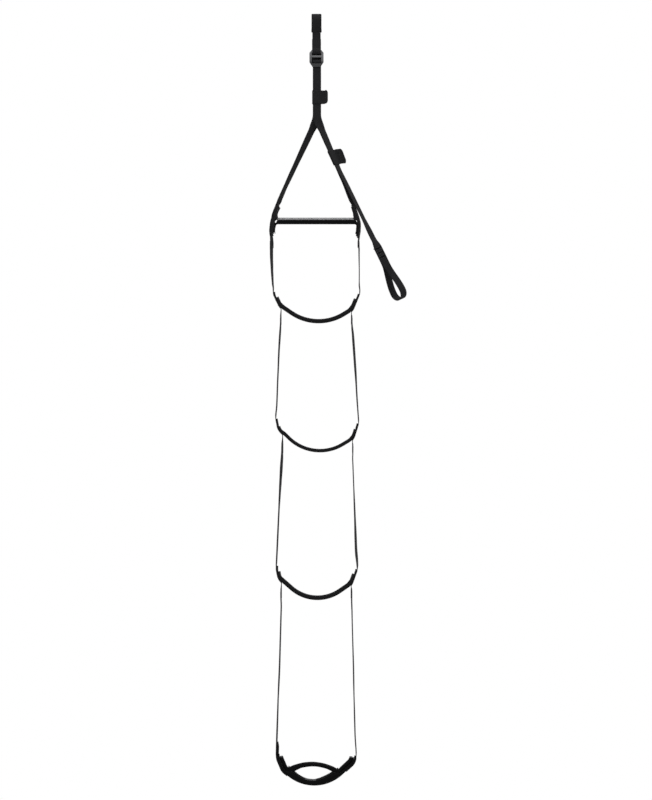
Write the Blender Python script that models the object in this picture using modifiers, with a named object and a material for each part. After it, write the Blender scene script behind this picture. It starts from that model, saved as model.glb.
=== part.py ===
"""Webbing wall ladder (etrier) with a spreader bar, hanging from its clip-in loop.

Metres, +Z up, front towards -Y. The origin is the inside crown of the clip-in loop.
"""
import math

import bmesh
import bpy
from mathutils import Matrix, Vector

# Webbing and clearances
webbing_width = 0.020
webbing_thickness = 0.0015
seat_gap = 0.0003

# Clip-in loop and its wear sleeve
loop_crown_radius = 0.010
loop_taper_length = 0.050
sleeve_length = 0.0405
sleeve_wall = 0.0010
sleeve_inner_width = 0.0219
sleeve_inner_height = 0.0021

# Slide-lock buckle
buckle_drop = 0.0828
buckle_width = 0.034
buckle_thickness = 0.004
top_bar_height = 0.007
upper_window_height = 0.0058
middle_bar_height = 0.005
lower_window_height = 0.0144
lower_bar_height = 0.0085
window_width = 0.023
top_chamfer_width = 0.0055
top_chamfer_height = 0.0065
bottom_chamfer_width = 0.0075
bottom_chamfer_height = 0.0115
buckle_edge_round = 0.0007
bar_loop_slack = 0.0008
lock_bar_diameter = 0.005
lock_bar_travel = 0.0035
lock_tongue_length = 0.0018
lock_tongue_height = 0.003
lock_tongue_thickness = 0.0014
groove_clearance = 0.0003

# Head strap and keepers
strap_line_x = 0.001
wrap_tail_length = 0.001
load_strap_length = 0.124
right_leg_lap = 0.050
left_leg_lap = 0.044
split_drop = 0.247
keeper_height = 0.032
keeper_drop = 0.1793
keeper_wall = 0.0012
keeper_slack = 0.0003
upper_keeper_tab_length = 0.0127
lower_keeper_tab_length = 0.017
keeper_tab_root = 0.004
keeper_tab_lift = 0.004
keeper_tab_round = 0.004
lower_keeper_height = 0.034
lower_keeper_drop = 0.3405
lower_keeper_tab_turn = math.radians(58)

# Legs and spreader bar
bar_drop = 0.49125
bar_length = 0.186
bar_diameter = 0.0125
bar_wall = 0.0015
plug_flange = 0.0014
plug_spigot = 0.012
plug_fit = 0.00015
cradle_width = 0.0235
cradle_corner_radius = 0.0055
cradle_tab_fall = 0.033
left_rail_reach = 0.014
right_rail_reach = 0.0074
left_bar_room = 0.0019
right_bar_room = 0.0003
left_patch_thickness = 0.0105
right_patch_thickness = 0.0048
patch_rise = 0.034
left_patch_fall = 0.0355
right_patch_fall = 0.040
split_round = 0.056
shoulder_round = 0.045
shoulder_drop = 0.0025
lean_back_fall = 0.040
lap_half = 0.008
lap_straight = 0.020
kink_round = 0.018
kink_lead = 0.008
leave_round = 0.006

# Free tail with its hand loop
tail_start_drop = 0.455
tail_splay = math.radians(3.1)
tail_anchor_room = 0.0024
tail_anchor_drop = 0.3706
tail_twist = math.radians(62)
hand_loop_twist = math.radians(35)
hand_loop_end = 0.343
hand_loop_width = 0.038
hand_loop_shift = -0.0035
hand_loop_stub = 0.217
hand_loop_open = 0.238
hand_loop_stub_flare = 0.0015

# Stages: level of each step's underside below the bar or the step above, and its shift to the right
stage_1_fold_drop = 0.0582
step_fold_clearance = 0.0225
first_step_fall = 0.24705
first_step_shift = 0.0049
second_step_fall = 0.3098
second_step_shift = 0.0081
third_step_fall = 0.3538
third_step_shift = 0.0023
foot_fall = 0.4444
foot_shift = -0.0052

# Curve of each step strap: radius in the middle, then on each side the turn of that middle arc, a
# straight, a tighter bend, a second straight and the last bend up to the rail
end_bend_radius = 0.028
first_step_radius = 0.120
first_left = (math.radians(34.3), 0.0225, math.radians(30.6), 0.020, math.radians(27))
first_right = (math.radians(31.9), 0.0115, math.radians(36), 0.029, math.radians(22))
second_step_radius = 0.1094
second_left = (math.radians(44.5), 0.023, math.radians(35.2), 0.015, math.radians(13))
second_right = (math.radians(31.1), 0.016, math.radians(41.5), 0.025, math.radians(21))
third_step_radius = 0.0981
third_left = (math.radians(41), 0.028, math.radians(38.1), 0.011, math.radians(14))
third_right = (math.radians(34.4), 0.022, math.radians(35.9), 0.025, math.radians(22))
foot_radius = 0.0986
foot_left = (math.radians(37.7), 0.0135, math.radians(29.3), 0.019, math.radians(24))
foot_right = (math.radians(42.5), 0.031, math.radians(45.2), 0.004, math.radians(4))

# Lengths along the strap from its lowest point, left and right: strap end, tread end, rail's leave
first_strap_ends = (0.141, 0.130)
first_tread_ends = (0.126, 0.116)
first_leaves = (0.0975, 0.084)
second_strap_ends = (0.143, 0.126)
second_tread_ends = (0.124, 0.111)
second_leaves = (0.101, 0.084)
third_strap_ends = (0.139, 0.129)
third_tread_ends = (0.125, 0.116)
third_leaves = (0.098, 0.089)
foot_strap_ends = (0.124, 0.128)
foot_tread_ends = (0.119, 0.122)
foot_rail_ends = (0.070, 0.085)
arch_ends = (0.121, 0.125)
arch_joins = (0.077, 0.070)

# Treads
tread_width = 0.024
first_tread_height = 0.0082
second_tread_height = 0.0064
third_tread_height = 0.0080
tread_wall = 0.0013
stiffener_width = 0.018
foot_tread_width = 0.034
foot_tread_height = 0.0122
foot_end_height = 0.0050
arch_height = 0.0078
arch_rise = 0.0157
foot_thin_shares = (0.18, 0.60)
arch_corner_round = 0.006

# Twist of each leg, as (share of the drop from split to bar, degrees)
twist_stations = ((0, 0), (0.13, 45), (0.52, 60), (0.80, 72), (0.875, 90))
# How far the left leg stands off behind the right one, as (share of the same drop, share of the spread)
split_spread = 0.0016
spread_stations = ((-0.045, 0), (0.02, 1), (0.4, 0))

pitch = webbing_thickness + seat_gap
half_web = webbing_thickness / 2
left_rail_offset = bar_length / 2 + left_rail_reach
right_rail_offset = bar_length / 2 + right_rail_reach
lean = math.atan(bar_length / 2 / (bar_drop - split_drop))


def bar_offset(patch_thickness, room):
    """How far out the leg's corner lies, clear of the bar's plug with its patch and the cradle's end."""
    stack = half_web + seat_gap + patch_thickness + seat_gap + webbing_thickness
    return bar_length / 2 + plug_flange + stack / math.cos(lean) + bar_diameter / 2 * math.tan(lean) + room


left_bar_offset = bar_offset(left_patch_thickness, left_bar_room)
right_bar_offset = bar_offset(right_patch_thickness, right_bar_room)
right_lean = math.atan((right_bar_offset - strap_line_x) / (bar_drop + shoulder_drop - split_drop))
tail_angle = right_lean + tail_splay
tail_anchor_x = strap_line_x + (tail_anchor_drop - split_drop) * math.tan(right_lean) + tail_anchor_room
arc_step = math.radians(9)
UP = Vector((0, 0, 1))
BACK = Vector((0, 1, 0))
RIGHT = Vector((1, 0, 0))


for old in list(bpy.data.objects):
    bpy.data.objects.remove(old, do_unlink=True)
parts = bpy.data.collections.new("etrier")
cutters = bpy.data.collections.new("cutters")
bpy.context.scene.collection.children.link(parts)
bpy.context.scene.collection.children.link(cutters)


def material(name, colour, roughness, metallic=0.0):
    made = bpy.data.materials.new(name)
    made.use_nodes = True
    shader = made.node_tree.nodes["Principled BSDF"]
    shader.inputs["Base Color"].default_value = (*colour, 1)
    shader.inputs["Roughness"].default_value = roughness
    shader.inputs["Metallic"].default_value = metallic
    return made


webbing_black = material("webbing", (0.016, 0.016, 0.017), 0.85)
sleeve_black = material("sleeve", (0.011, 0.011, 0.012), 0.9)
tread_black = material("tread", (0.007, 0.007, 0.008), 0.8)
buckle_steel = material("buckle_steel", (0.20, 0.20, 0.20), 0.35, 1.0)
bar_aluminium = material("bar_aluminium", (0.35, 0.35, 0.36), 0.35, 1.0)
plug_plastic = material("plug_plastic", (0.02, 0.02, 0.02), 0.5)
stiff_plastic = material("stiffener_plastic", (0.03, 0.03, 0.03), 0.6)


def empty(name, place, parent=None):
    """A joint's frame: its origin lies on the joint's axis."""
    made = bpy.data.objects.new(name, None)
    made.empty_display_size = webbing_width
    parts.objects.link(made)
    made.parent = parent
    made.location = place - (parent.matrix_world.translation if parent else Vector())
    bpy.context.view_layer.update()
    return made


def add(name, mesh, finish, parent, smooth_angle=math.radians(40)):
    """Links a mesh made in world coordinates as a part under its joint's frame."""
    made = bpy.data.objects.new(name, mesh)
    parts.objects.link(made)
    made.parent = parent
    if parent:
        mesh.transform(Matrix.Translation(-parent.matrix_world.translation))
    mesh.materials.append(finish)
    mesh.shade_smooth()
    mesh.set_sharp_from_angle(angle=smooth_angle)
    return made


def sheet_mesh(name, rows, columns, place, closed_rows=False, closed_columns=False):
    """A grid bent to shape: place(row, column) gives each corner. Closed directions are welded."""
    shape = bmesh.new()
    bmesh.ops.create_grid(shape, x_segments=rows, y_segments=columns, size=1)
    for corner in shape.verts:
        row = round((corner.co.x + 1) / 2 * rows)
        column = round((corner.co.y + 1) / 2 * columns)
        corner.co = place(row % rows if closed_rows else row, column % columns if closed_columns else column)
    if closed_rows or closed_columns:
        bmesh.ops.remove_doubles(shape, verts=shape.verts, dist=seat_gap / 1000)
    bmesh.ops.recalc_face_normals(shape, faces=shape.faces)
    mesh = bpy.data.meshes.new(name)
    shape.to_mesh(mesh)
    shape.free()
    return mesh


def thicken(made, thickness):
    solid = made.modifiers.new("thickness", "SOLIDIFY")
    solid.thickness = thickness
    solid.offset = 0
    solid.use_even_offset = True
    return made


def directions(points, closed=False):
    """The unit tangent at each point of a route."""
    last = len(points) - 1
    found = []
    for i in range(last + 1):
        before = points[i - 1] if i or closed else points[i]
        after = points[(i + 1) % (last + 1)] if i < last or closed else points[i]
        found.append((after - before).normalized())
    return found


def strap(name, points, across, finish, parent, thickness=webbing_thickness, width=webbing_width,
          closed=False):
    """Flat webbing along a route; across holds the unit width direction at each point."""
    def place(row, column):
        return points[row] + across[row] * (column - 0.5) * width
    rows = len(points) if closed else len(points) - 1
    mesh = sheet_mesh(name, rows, 1, place, closed_rows=closed)
    return thicken(add(name, mesh, finish, parent), thickness)


def stadium(width, height, arc_sides=3):
    """Corners (across, through) of a flat section with round edges."""
    flat = (width - height) / 2
    corners = []
    for side in (1, -1):
        for i in range(arc_sides + 1):
            turn = math.pi * (i / arc_sides - 0.5)
            corners.append((side * (flat + height / 2 * math.cos(turn)), side * height / 2 * math.sin(turn)))
    return corners


def flat_tube(name, points, across, finish, parent, widths, heights, wall):
    """A folded sleeve along a route, open at both ends; sizes are those of the middle of its wall."""
    tangents = directions(points)
    sections = [stadium(width, height) for width, height in zip(widths, heights)]

    def place(row, column):
        a, b = sections[row][column]
        through = tangents[row].cross(across[row]).normalized()
        return points[row] + across[row] * a + through * b
    mesh = sheet_mesh(name, len(points) - 1, len(sections[0]), place, closed_columns=True)
    return thicken(add(name, mesh, finish, parent), wall)


def flat_bar(name, points, across, finish, parent, width, heights):
    """A solid flat strip with square ends whose thickness may vary along the route."""
    tangents = directions(points)
    corners = ((-0.5, -0.5), (0.5, -0.5), (0.5, 0.5), (-0.5, 0.5))

    def place(row, column):
        a, b = corners[column]
        through = tangents[row].cross(across[row]).normalized()
        return points[row] + across[row] * a * width + through * b * heights[row]
    mesh = sheet_mesh(name, len(points) - 1, len(corners), place, closed_columns=True)
    shape = bmesh.new()
    shape.from_mesh(mesh)
    rim = [edge for edge in shape.edges if edge.is_boundary]
    bmesh.ops.holes_fill(shape, edges=rim, sides=len(corners))
    bmesh.ops.recalc_face_normals(shape, faces=shape.faces)
    shape.to_mesh(mesh)
    shape.free()
    return add(name, mesh, finish, parent)


def rounded_route(corners, radii, spacing):
    """A route through corners whose turns are arcs, with points no further apart than spacing."""
    route = [corners[0]]
    for before, corner, after, radius in zip(corners, corners[1:], corners[2:], radii):
        come = (corner - before).normalized()
        leave = (after - corner).normalized()
        turn = come.angle(leave)
        cut = radius * math.tan(turn / 2)
        side = (leave - come * come.dot(leave)).normalized()
        start = corner - come * cut
        steps = max(2, math.ceil(turn / arc_step))
        for i in range(steps + 1):
            done = turn * i / steps
            route.append(start + come * radius * math.sin(done) + side * radius * (1 - math.cos(done)))
    route.append(corners[-1])
    dense = [route[0]]
    for before, after in zip(route, route[1:]):
        pieces = max(1, math.ceil((after - before).length / spacing))
        dense += [before.lerp(after, i / pieces) for i in range(1, pieces + 1)]
    return dense


def flat(x, z):
    """A point of the ladder's plane."""
    return Vector((x, 0, z))


def ease(share):
    """0 to 1 with level ends."""
    share = min(max(share, 0), 1)
    return share * share * (3 - 2 * share)


def face_across(tangent, twist):
    """Width direction of webbing turned by twist from facing the front."""
    level = tangent.cross(BACK).normalized()
    turned = level * math.cos(twist) + BACK * math.sin(twist)
    return (turned - tangent * tangent.dot(turned)).normalized()


def beside(points, across, distance):
    """The same route moved off its webbing's front face by a distance, or a list of distances."""
    tangents = directions(points)
    moves = distance if isinstance(distance, list) else [distance] * len(points)
    return [p + t.cross(a).normalized() * move for p, t, a, move in zip(points, tangents, across, moves)]


# Levels and frames
crown_level = sleeve_wall + seat_gap + half_web
buckle_top = -buckle_drop
top_bar_level = buckle_top - top_bar_height / 2
middle_bar_top = buckle_top - top_bar_height - upper_window_height
lower_window_top = middle_bar_top - middle_bar_height
lower_bar_top = lower_window_top - lower_window_height
tail_ply_y = buckle_thickness / 2 + seat_gap + half_web
load_ply_y = tail_ply_y + pitch
wrap_radius = lock_bar_diameter / 2 + seat_gap + half_web
lock_bar_y = load_ply_y - wrap_radius
lock_bar_level = lower_bar_top + wrap_radius + seat_gap + half_web + seat_gap
wrap_end_level = lower_bar_top - wrap_tail_length
bar_level = -bar_drop
fold_1 = bar_level - stage_1_fold_drop

head_frame = empty("head_frame", Vector((0, 0, top_bar_level)))
lock_frame = empty("lock_frame", Vector((0, lock_bar_y, lock_bar_level)), head_frame)
ladder_frame = empty("ladder_frame", Vector((strap_line_x, 0, -split_drop)), head_frame)


def clip_loop_route():
    """Closed route of the clip-in webbing, side view: crown, pinched plies, loop round the top bar."""
    bar_radius = math.hypot(top_bar_height, buckle_thickness) / 2 + bar_loop_slack
    crown_centre = crown_level - loop_crown_radius
    pinch = half_web + seat_gap / 2
    pinch_level = crown_centre - loop_taper_length
    loop_top = top_bar_level + 2 * bar_radius
    half = []
    for i in range(9):
        turn = math.pi / 2 * i / 8
        half.append((loop_crown_radius * math.sin(turn), crown_centre + loop_crown_radius * math.cos(turn)))
    for i in range(1, 11):
        share = i / 10
        half.append((loop_crown_radius + (pinch - loop_crown_radius) * ease(share),
                     crown_centre - loop_taper_length * share))
    half.append((pinch, (pinch_level + loop_top) / 2))
    bar_web_radius = bar_radius + half_web
    for i in range(6):
        share = i / 6
        half.append((pinch + (bar_web_radius - pinch) * ease(share),
                     loop_top + (top_bar_level - loop_top) * share))
    for i in range(9):
        turn = math.pi / 2 * i / 8
        half.append((bar_web_radius * math.cos(turn), top_bar_level - bar_web_radius * math.sin(turn)))
    front = [Vector((0, -y, z)) for y, z in half]
    rear = [Vector((0, y, z)) for y, z in reversed(half[1:-1])]
    return front + rear


def make_clip_in():
    route = clip_loop_route()
    strap("clip_in_strap", route, [RIGHT] * len(route), webbing_black, None, closed=True)
    sleeve_end = crown_level - webbing_thickness - sleeve_length
    count = sum(1 for point in route[:len(route) // 2] if point.z > sleeve_end)
    covered = route[-count + 1:] + route[:count]
    flat_tube("clip_in_sleeve", covered, [RIGHT] * len(covered), sleeve_black, None,
              [sleeve_inner_width + sleeve_wall] * len(covered),
              [sleeve_inner_height + sleeve_wall] * len(covered), sleeve_wall)


def outline_mesh(name, loops, thickness):
    """A plate in the XZ plane: the first loop is its outline, the others are its openings."""
    curve = bpy.data.curves.new(name, "CURVE")
    curve.dimensions = "2D"
    curve.fill_mode = "BOTH"
    curve.extrude = thickness / 2
    for loop in loops:
        spline = curve.splines.new("POLY")
        spline.points.add(len(loop) - 1)
        for point, (x, z) in zip(spline.points, loop):
            point.co = (x, z, 0, 1)
        spline.use_cyclic_u = True
    guide = bpy.data.objects.new(name, curve)
    bpy.context.scene.collection.objects.link(guide)
    evaluated = guide.evaluated_get(bpy.context.evaluated_depsgraph_get())
    mesh = bpy.data.meshes.new_from_object(evaluated)
    bpy.data.objects.remove(guide)
    shape = bmesh.new()
    shape.from_mesh(mesh)
    bmesh.ops.remove_doubles(shape, verts=shape.verts, dist=seat_gap / 100)
    bmesh.ops.rotate(shape, verts=shape.verts, matrix=Matrix.Rotation(math.pi / 2, 3, "X"))
    bmesh.ops.recalc_face_normals(shape, faces=shape.faces)
    shape.to_mesh(mesh)
    shape.free()
    return mesh


def box_mesh(name, centre, size):
    shape = bmesh.new()
    bmesh.ops.create_cube(shape, size=1)
    bmesh.ops.scale(shape, verts=shape.verts, vec=size)
    bmesh.ops.translate(shape, verts=shape.verts, vec=centre)
    mesh = bpy.data.meshes.new(name)
    shape.to_mesh(mesh)
    shape.free()
    return mesh


def rod_mesh(name, centre, radius, length, sides=24):
    """A round rod along X."""
    shape = bmesh.new()
    bmesh.ops.create_cone(shape, cap_ends=True, segments=sides, radius1=radius, radius2=radius, depth=length)
    bmesh.ops.rotate(shape, verts=shape.verts, matrix=Matrix.Rotation(math.pi / 2, 3, "Y"))
    bmesh.ops.translate(shape, verts=shape.verts, vec=centre)
    mesh = bpy.data.meshes.new(name)
    shape.to_mesh(mesh)
    shape.free()
    return mesh


def tool(name, mesh, parent):
    """A hidden shape that cuts or joins another."""
    made = bpy.data.objects.new(name, mesh)
    cutters.objects.link(made)
    made.parent = parent
    mesh.transform(Matrix.Translation(-parent.matrix_world.translation))
    made.hide_render = True
    made.display_type = "WIRE"
    return made


def combine(made, other, operation):
    step = made.modifiers.new(operation.lower(), "BOOLEAN")
    step.object = other
    step.operation = operation


def make_buckle():
    half = buckle_width / 2
    bottom = lower_bar_top - lower_bar_height
    outline = [(half - top_chamfer_width, buckle_top), (half, buckle_top - top_chamfer_height),
               (half, bottom + bottom_chamfer_height), (half - bottom_chamfer_width, bottom)]
    outline += [(-x, z) for x, z in reversed(outline)]

    def window(top, height):
        side = window_width / 2
        return [(-side, top), (side, top), (side, top - height), (-side, top - height)]
    loops = [outline, window(buckle_top - top_bar_height, upper_window_height),
             window(lower_window_top, lower_window_height)]
    frame = add("buckle_frame", outline_mesh("buckle_frame", loops, buckle_thickness),
                buckle_steel, head_frame)
    groove_bottom = lock_bar_level - lock_tongue_height / 2 - groove_clearance
    groove_top = lock_bar_level + lock_tongue_height / 2 + lock_bar_travel + groove_clearance
    groove = Vector((window_width + 2 * (lock_tongue_length + groove_clearance),
                     lock_tongue_thickness + 2 * groove_clearance, groove_top - groove_bottom))
    middle = Vector((0, 0, (groove_top + groove_bottom) / 2))
    combine(frame, tool("groove_cutter", box_mesh("groove_cutter", middle, groove), head_frame), "DIFFERENCE")
    edges = frame.modifiers.new("edges", "BEVEL")
    edges.width = buckle_edge_round
    edges.segments = 2
    edges.limit_method = "ANGLE"
    edges.angle_limit = math.radians(40)

    centre = Vector((0, lock_bar_y, lock_bar_level))
    rod_length = window_width - 2 * seat_gap
    rod = add("lock_bar", rod_mesh("lock_bar", centre, lock_bar_diameter / 2, rod_length), buckle_steel,
              lock_frame)
    tongue = Vector((window_width + 2 * lock_tongue_length, lock_tongue_thickness, lock_tongue_height))
    tongues = box_mesh("tongues", Vector((0, 0, lock_bar_level)), tongue)
    combine(rod, tool("tongues", tongues, lock_frame), "UNION")


def make_lock_wrap():
    """The webbing comes up behind the lock bar, turns over it and leaves behind the lower bar."""
    route = [Vector((strap_line_x, load_ply_y, wrap_end_level))]
    for i in range(25):
        turn = math.radians(270) * i / 24
        route.append(Vector((strap_line_x, lock_bar_y + wrap_radius * math.cos(turn),
                             lock_bar_level + wrap_radius * math.sin(turn))))
    corner_radius = seat_gap + half_web
    for i in range(5):
        turn = math.pi / 2 * (1 - i / 4)
        route.append(Vector((strap_line_x, buckle_thickness / 2 + corner_radius * math.cos(turn),
                             lower_bar_top + corner_radius * math.sin(turn))))
    route.append(Vector((strap_line_x, tail_ply_y, wrap_end_level)))
    strap("lock_wrap", route, [RIGHT] * len(route), webbing_black, lock_frame)


def station_value(stations, share):
    """Eased value between stations given as (share, value)."""
    if share <= stations[0][0]:
        return stations[0][1]
    for (start, low), (end, high) in zip(stations, stations[1:]):
        if share < end:
            return low + (high - low) * ease((share - start) / (end - start))
    return stations[-1][1]


def leg_route(side, bar_offset, rail_offset, top, bottom, ply_y, spread):
    """Leg from its sewn upper end, out at the split, past the bar and down to its lap."""
    corners = [flat(strap_line_x, top), flat(strap_line_x, -split_drop),
               flat(side * bar_offset, bar_level - shoulder_drop),
               flat(side * rail_offset, bar_level - lean_back_fall), flat(side * rail_offset, bottom)]
    route = rounded_route(corners, (split_round, shoulder_round, shoulder_round), webbing_width / 2)
    shares = [(-split_drop - point.z) / (bar_drop - split_drop) for point in route]
    for point, share in zip(route, shares):
        point.y = ply_y * (1 - ease(share)) + spread * station_value(spread_stations, share)
    across = [face_across(tangent, math.radians(station_value(twist_stations, share)))
              for tangent, share in zip(directions(route), shares)]
    return route, across


right_ply_y = load_ply_y + pitch
left_ply_y = right_ply_y + pitch
load_end = wrap_end_level - seat_gap - load_strap_length
lap_end = fold_1 - lap_half
right_leg, right_across = leg_route(1, right_bar_offset, right_rail_offset, load_end + right_leg_lap,
                                    lap_end, right_ply_y, 0)
left_leg, left_across = leg_route(-1, left_bar_offset, left_rail_offset, load_end + left_leg_lap,
                                  lap_end, left_ply_y, split_spread)


def make_legs():
    strap("leg_right", right_leg, right_across, webbing_black, ladder_frame)
    strap("leg_left", left_leg, left_across, webbing_black, ladder_frame)
    start = Vector((strap_line_x, load_ply_y, wrap_end_level - seat_gap))
    end = Vector((strap_line_x, load_ply_y, load_end))
    route = [start.lerp(end, i / 4) for i in range(5)]
    strap("load_strap", route, [RIGHT] * len(route), webbing_black, head_frame)


tail_down = flat(math.sin(tail_angle), -math.cos(tail_angle))
tail_anchor = flat(tail_anchor_x, -tail_anchor_drop)
tail_start_length = (tail_start_drop - tail_anchor_drop) / math.cos(tail_angle)


def tail_place(along, off, twist):
    """A point of the free tail: along its line, off its front face."""
    across = face_across(tail_down, twist)
    return tail_anchor + tail_down * along + tail_down.cross(across).normalized() * off


def tail_upper_route():
    """The free ply in front of the load strap, then on the right leg's outer face."""
    start = Vector((strap_line_x, tail_ply_y, wrap_end_level - seat_gap))
    follow_end = -lower_keeper_drop - lower_keeper_height
    leg = [(point, across) for point, across in zip(right_leg, right_across) if point.z > follow_end]
    points = [point for point, across in leg]
    widths = [across for point, across in leg]
    closing = [pitch * (2 - ease((load_end - webbing_width / 10 - point.z) / webbing_width))
               for point in points]
    follow = beside(points, widths, closing)
    joined = tail_start_length - seat_gap
    straight = [joined * share for share in (0.45, 0.6, 0.8, 1)]
    above = [start.lerp(follow[0], i / 4) for i in range(4)]
    route = above + follow + [tail_place(along, 0, tail_twist) for along in straight]
    across = [RIGHT] * len(above) + widths + [face_across(tail_down, tail_twist)] * len(straight)
    return route, across


def make_tail():
    route, across = tail_upper_route()
    strap("tail_upper", route, across, webbing_black, head_frame)
    run = empty("tail_frame", tail_place(tail_start_length, 0, tail_twist), ladder_frame)

    def twist(along):
        share = (along - hand_loop_stub) / (hand_loop_open - hand_loop_stub)
        return tail_twist + (hand_loop_twist - tail_twist) * ease(share)
    radius = hand_loop_width / 2
    round_start = hand_loop_end - radius
    flare = round_start - hand_loop_open
    front = hand_loop_shift + radius
    rear = hand_loop_shift - radius
    length = hand_loop_stub - tail_start_length
    sewn = [hand_loop_stub + (hand_loop_open - hand_loop_stub) * i / 6 for i in range(7)]
    outline = [(tail_start_length + length * i / 4, 0) for i in range(4)]
    outline += [(along, 0) for along in sewn]
    outline += [(hand_loop_open + flare * i / 8, front * ease(i / 8)) for i in range(1, 9)]
    outline += [(round_start + radius * math.sin(math.pi * i / 12),
                 hand_loop_shift + radius * math.cos(math.pi * i / 12)) for i in range(1, 13)]
    outline += [(round_start - flare * i / 8, rear - (rear + pitch) * ease(i / 8)) for i in range(1, 9)]
    outline += [(along, -pitch) for along in sewn[-2:0:-1]]
    outline.append((hand_loop_stub, -pitch - hand_loop_stub_flare))
    points = [tail_place(along, off, twist(along)) for along, off in outline]
    widths = [face_across(tail_down, twist(along)) for along, off in outline]
    strap("tail_strap", points, widths, webbing_black, run)


def keeper_section(depth, tab_turn, tab_length):
    """Closed middle line of a keeper's wall: round the straps, then out and back as a folded tab."""
    side = webbing_width / 2 + seat_gap + keeper_wall / 2
    through = depth / 2 + keeper_wall / 2
    ply = keeper_wall / 2 + seat_gap / 2
    corner = keeper_wall / 2
    out = Vector((math.cos(tab_turn), -math.sin(tab_turn)))
    off = Vector((math.sin(tab_turn), math.cos(tab_turn)))
    root = Vector((side + 3 * keeper_wall, 0))
    tip = root + out * tab_length
    start = root + out * keeper_tab_root
    ring = [root - off * ply * 3, start - off * ply, tip - off * ply, tip + out * ply, tip + off * ply,
            start + off * ply, root + off * ply * 2,
            Vector((side, through - corner)), Vector((side - corner, through)),
            Vector((corner - side, through)), Vector((-side, through - corner)),
            Vector((-side, corner - through)), Vector((corner - side, -through)),
            Vector((side - corner, -through)), Vector((side, corner - through))]
    return ring, (2, 3, 4), out


keeper_levels = (0, 0.1, 0.3, 0.5, 0.7, 0.9, 1)
keeper_tab_pulls = (1, 0.3, 0, 0, 0, 0.3, 1)


def make_keeper(name, points, across, depth, tab_turn, tab_length, parent):
    """A keeper whose rings stand at the given points of its straps."""
    ring, tab, out = keeper_section(depth, tab_turn, tab_length)
    tangents = directions(points)

    def place(row, column):
        a, b = ring[column]
        centre = points[row]
        if column in tab:
            centre = centre - tangents[row] * keeper_tab_lift
            a -= out.x * keeper_tab_round * keeper_tab_pulls[row]
            b -= out.y * keeper_tab_round * keeper_tab_pulls[row]
        through = across[row].cross(tangents[row]).normalized()
        return centre + across[row] * a + through * b
    mesh = sheet_mesh(name, len(points) - 1, len(ring), place, closed_columns=True)
    thicken(add(name, mesh, sleeve_black, parent), keeper_wall)


def make_keepers():
    front = tail_ply_y - half_web
    rear = left_ply_y + half_web
    middle = Vector((strap_line_x, (front + rear) / 2, -keeper_drop - keeper_height / 2))
    upper = empty("keeper_upper_frame", middle, ladder_frame)
    points = [middle - UP * (level - 0.5) * keeper_height for level in keeper_levels]
    make_keeper("keeper_upper", points, [RIGHT] * len(points), rear - front + 2 * keeper_slack, 0,
                upper_keeper_tab_length, upper)

    line = beside(right_leg, right_across, pitch / 2)
    points, across = [], []
    for level in keeper_levels:
        drop = lower_keeper_drop + (level - 0.5) * lower_keeper_height
        i = max(k for k, point in enumerate(line) if point.z >= -drop)
        share = (-drop - line[i].z) / (line[i + 1].z - line[i].z)
        points.append(line[i].lerp(line[i + 1], share))
        across.append(right_across[i].lerp(right_across[i + 1], share))
    lower = empty("keeper_lower_frame", points[len(points) // 2], ladder_frame)
    depth = pitch + webbing_thickness + 2 * keeper_slack
    make_keeper("keeper_lower", points, across, depth, lower_keeper_tab_turn, lower_keeper_tab_length, lower)


def make_bar():
    radius = bar_diameter / 2
    centre = flat(0, bar_level)
    bar = add("spreader_bar", rod_mesh("spreader_bar", centre, radius, bar_length, 28), bar_aluminium,
              ladder_frame)
    bore = rod_mesh("bore_cutter", centre, radius - bar_wall, bar_length + bar_diameter, 28)
    combine(bar, tool("bore_cutter", bore, ladder_frame), "DIFFERENCE")
    for side, name in ((-1, "bar_plug_left"), (1, "bar_plug_right")):
        end = side * bar_length / 2
        flange = rod_mesh(name, flat(end + side * (seat_gap + plug_flange / 2), bar_level), radius,
                          plug_flange)
        plug = add(name, flange, plug_plastic, ladder_frame)
        spigot_length = plug_spigot + seat_gap + plug_flange / 2
        spigot_centre = flat(end + side * (seat_gap + plug_flange / 2 - spigot_length / 2), bar_level)
        spigot = rod_mesh(name + "_spigot", spigot_centre, radius - bar_wall - plug_fit * 2, spigot_length)
        combine(plug, tool(name + "_spigot", spigot, ladder_frame), "UNION")


def cradle_tab(leg, across, side, thickness, under):
    """Points up a tab, inside its patch, and the corner where it meets the level of the cup."""
    off = half_web + seat_gap + thickness + seat_gap + half_web
    line = [point for point in beside(leg, across, -side * off)
            if bar_level - cradle_tab_fall <= point.z <= under - cradle_corner_radius]
    rise = (line[0] - line[1]).normalized()
    return line[::-1], line[0] + rise * (under - line[0].z) / rise.z


def make_cradle():
    """Webbing cupped under the bar; its ends flatten, turn down and lie inside the patches."""
    cup_radius = bar_diameter / 2 + seat_gap + half_web
    under = bar_level - cup_radius
    left, left_corner = cradle_tab(left_leg, left_across, -1, left_patch_thickness, under)
    right, right_corner = cradle_tab(right_leg, right_across, 1, right_patch_thickness, under)
    corners = [left[-1], left_corner, right_corner, right[-1]]
    turned = rounded_route(corners, (cradle_corner_radius, cradle_corner_radius), webbing_width / 2)
    route = left + turned[1:-1] + right[::-1]
    tangents = directions(route)
    columns = 8

    def place(row, column):
        point = route[row]
        level = ease((bar_length / 2 - abs(point.x)) / cup_radius)
        spread = (column / columns - 0.5) * cradle_width
        inward = BACK.cross(tangents[row]) * -1
        if level < 0.001:
            return point + BACK * spread
        bend = level / cup_radius
        return point + BACK * math.sin(spread * bend) / bend + inward * (1 - math.cos(spread * bend)) / bend
    mesh = sheet_mesh("bar_cradle_strap", len(route) - 1, columns, place)
    thicken(add("bar_cradle_strap", mesh, webbing_black, ladder_frame), webbing_thickness)


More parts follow.
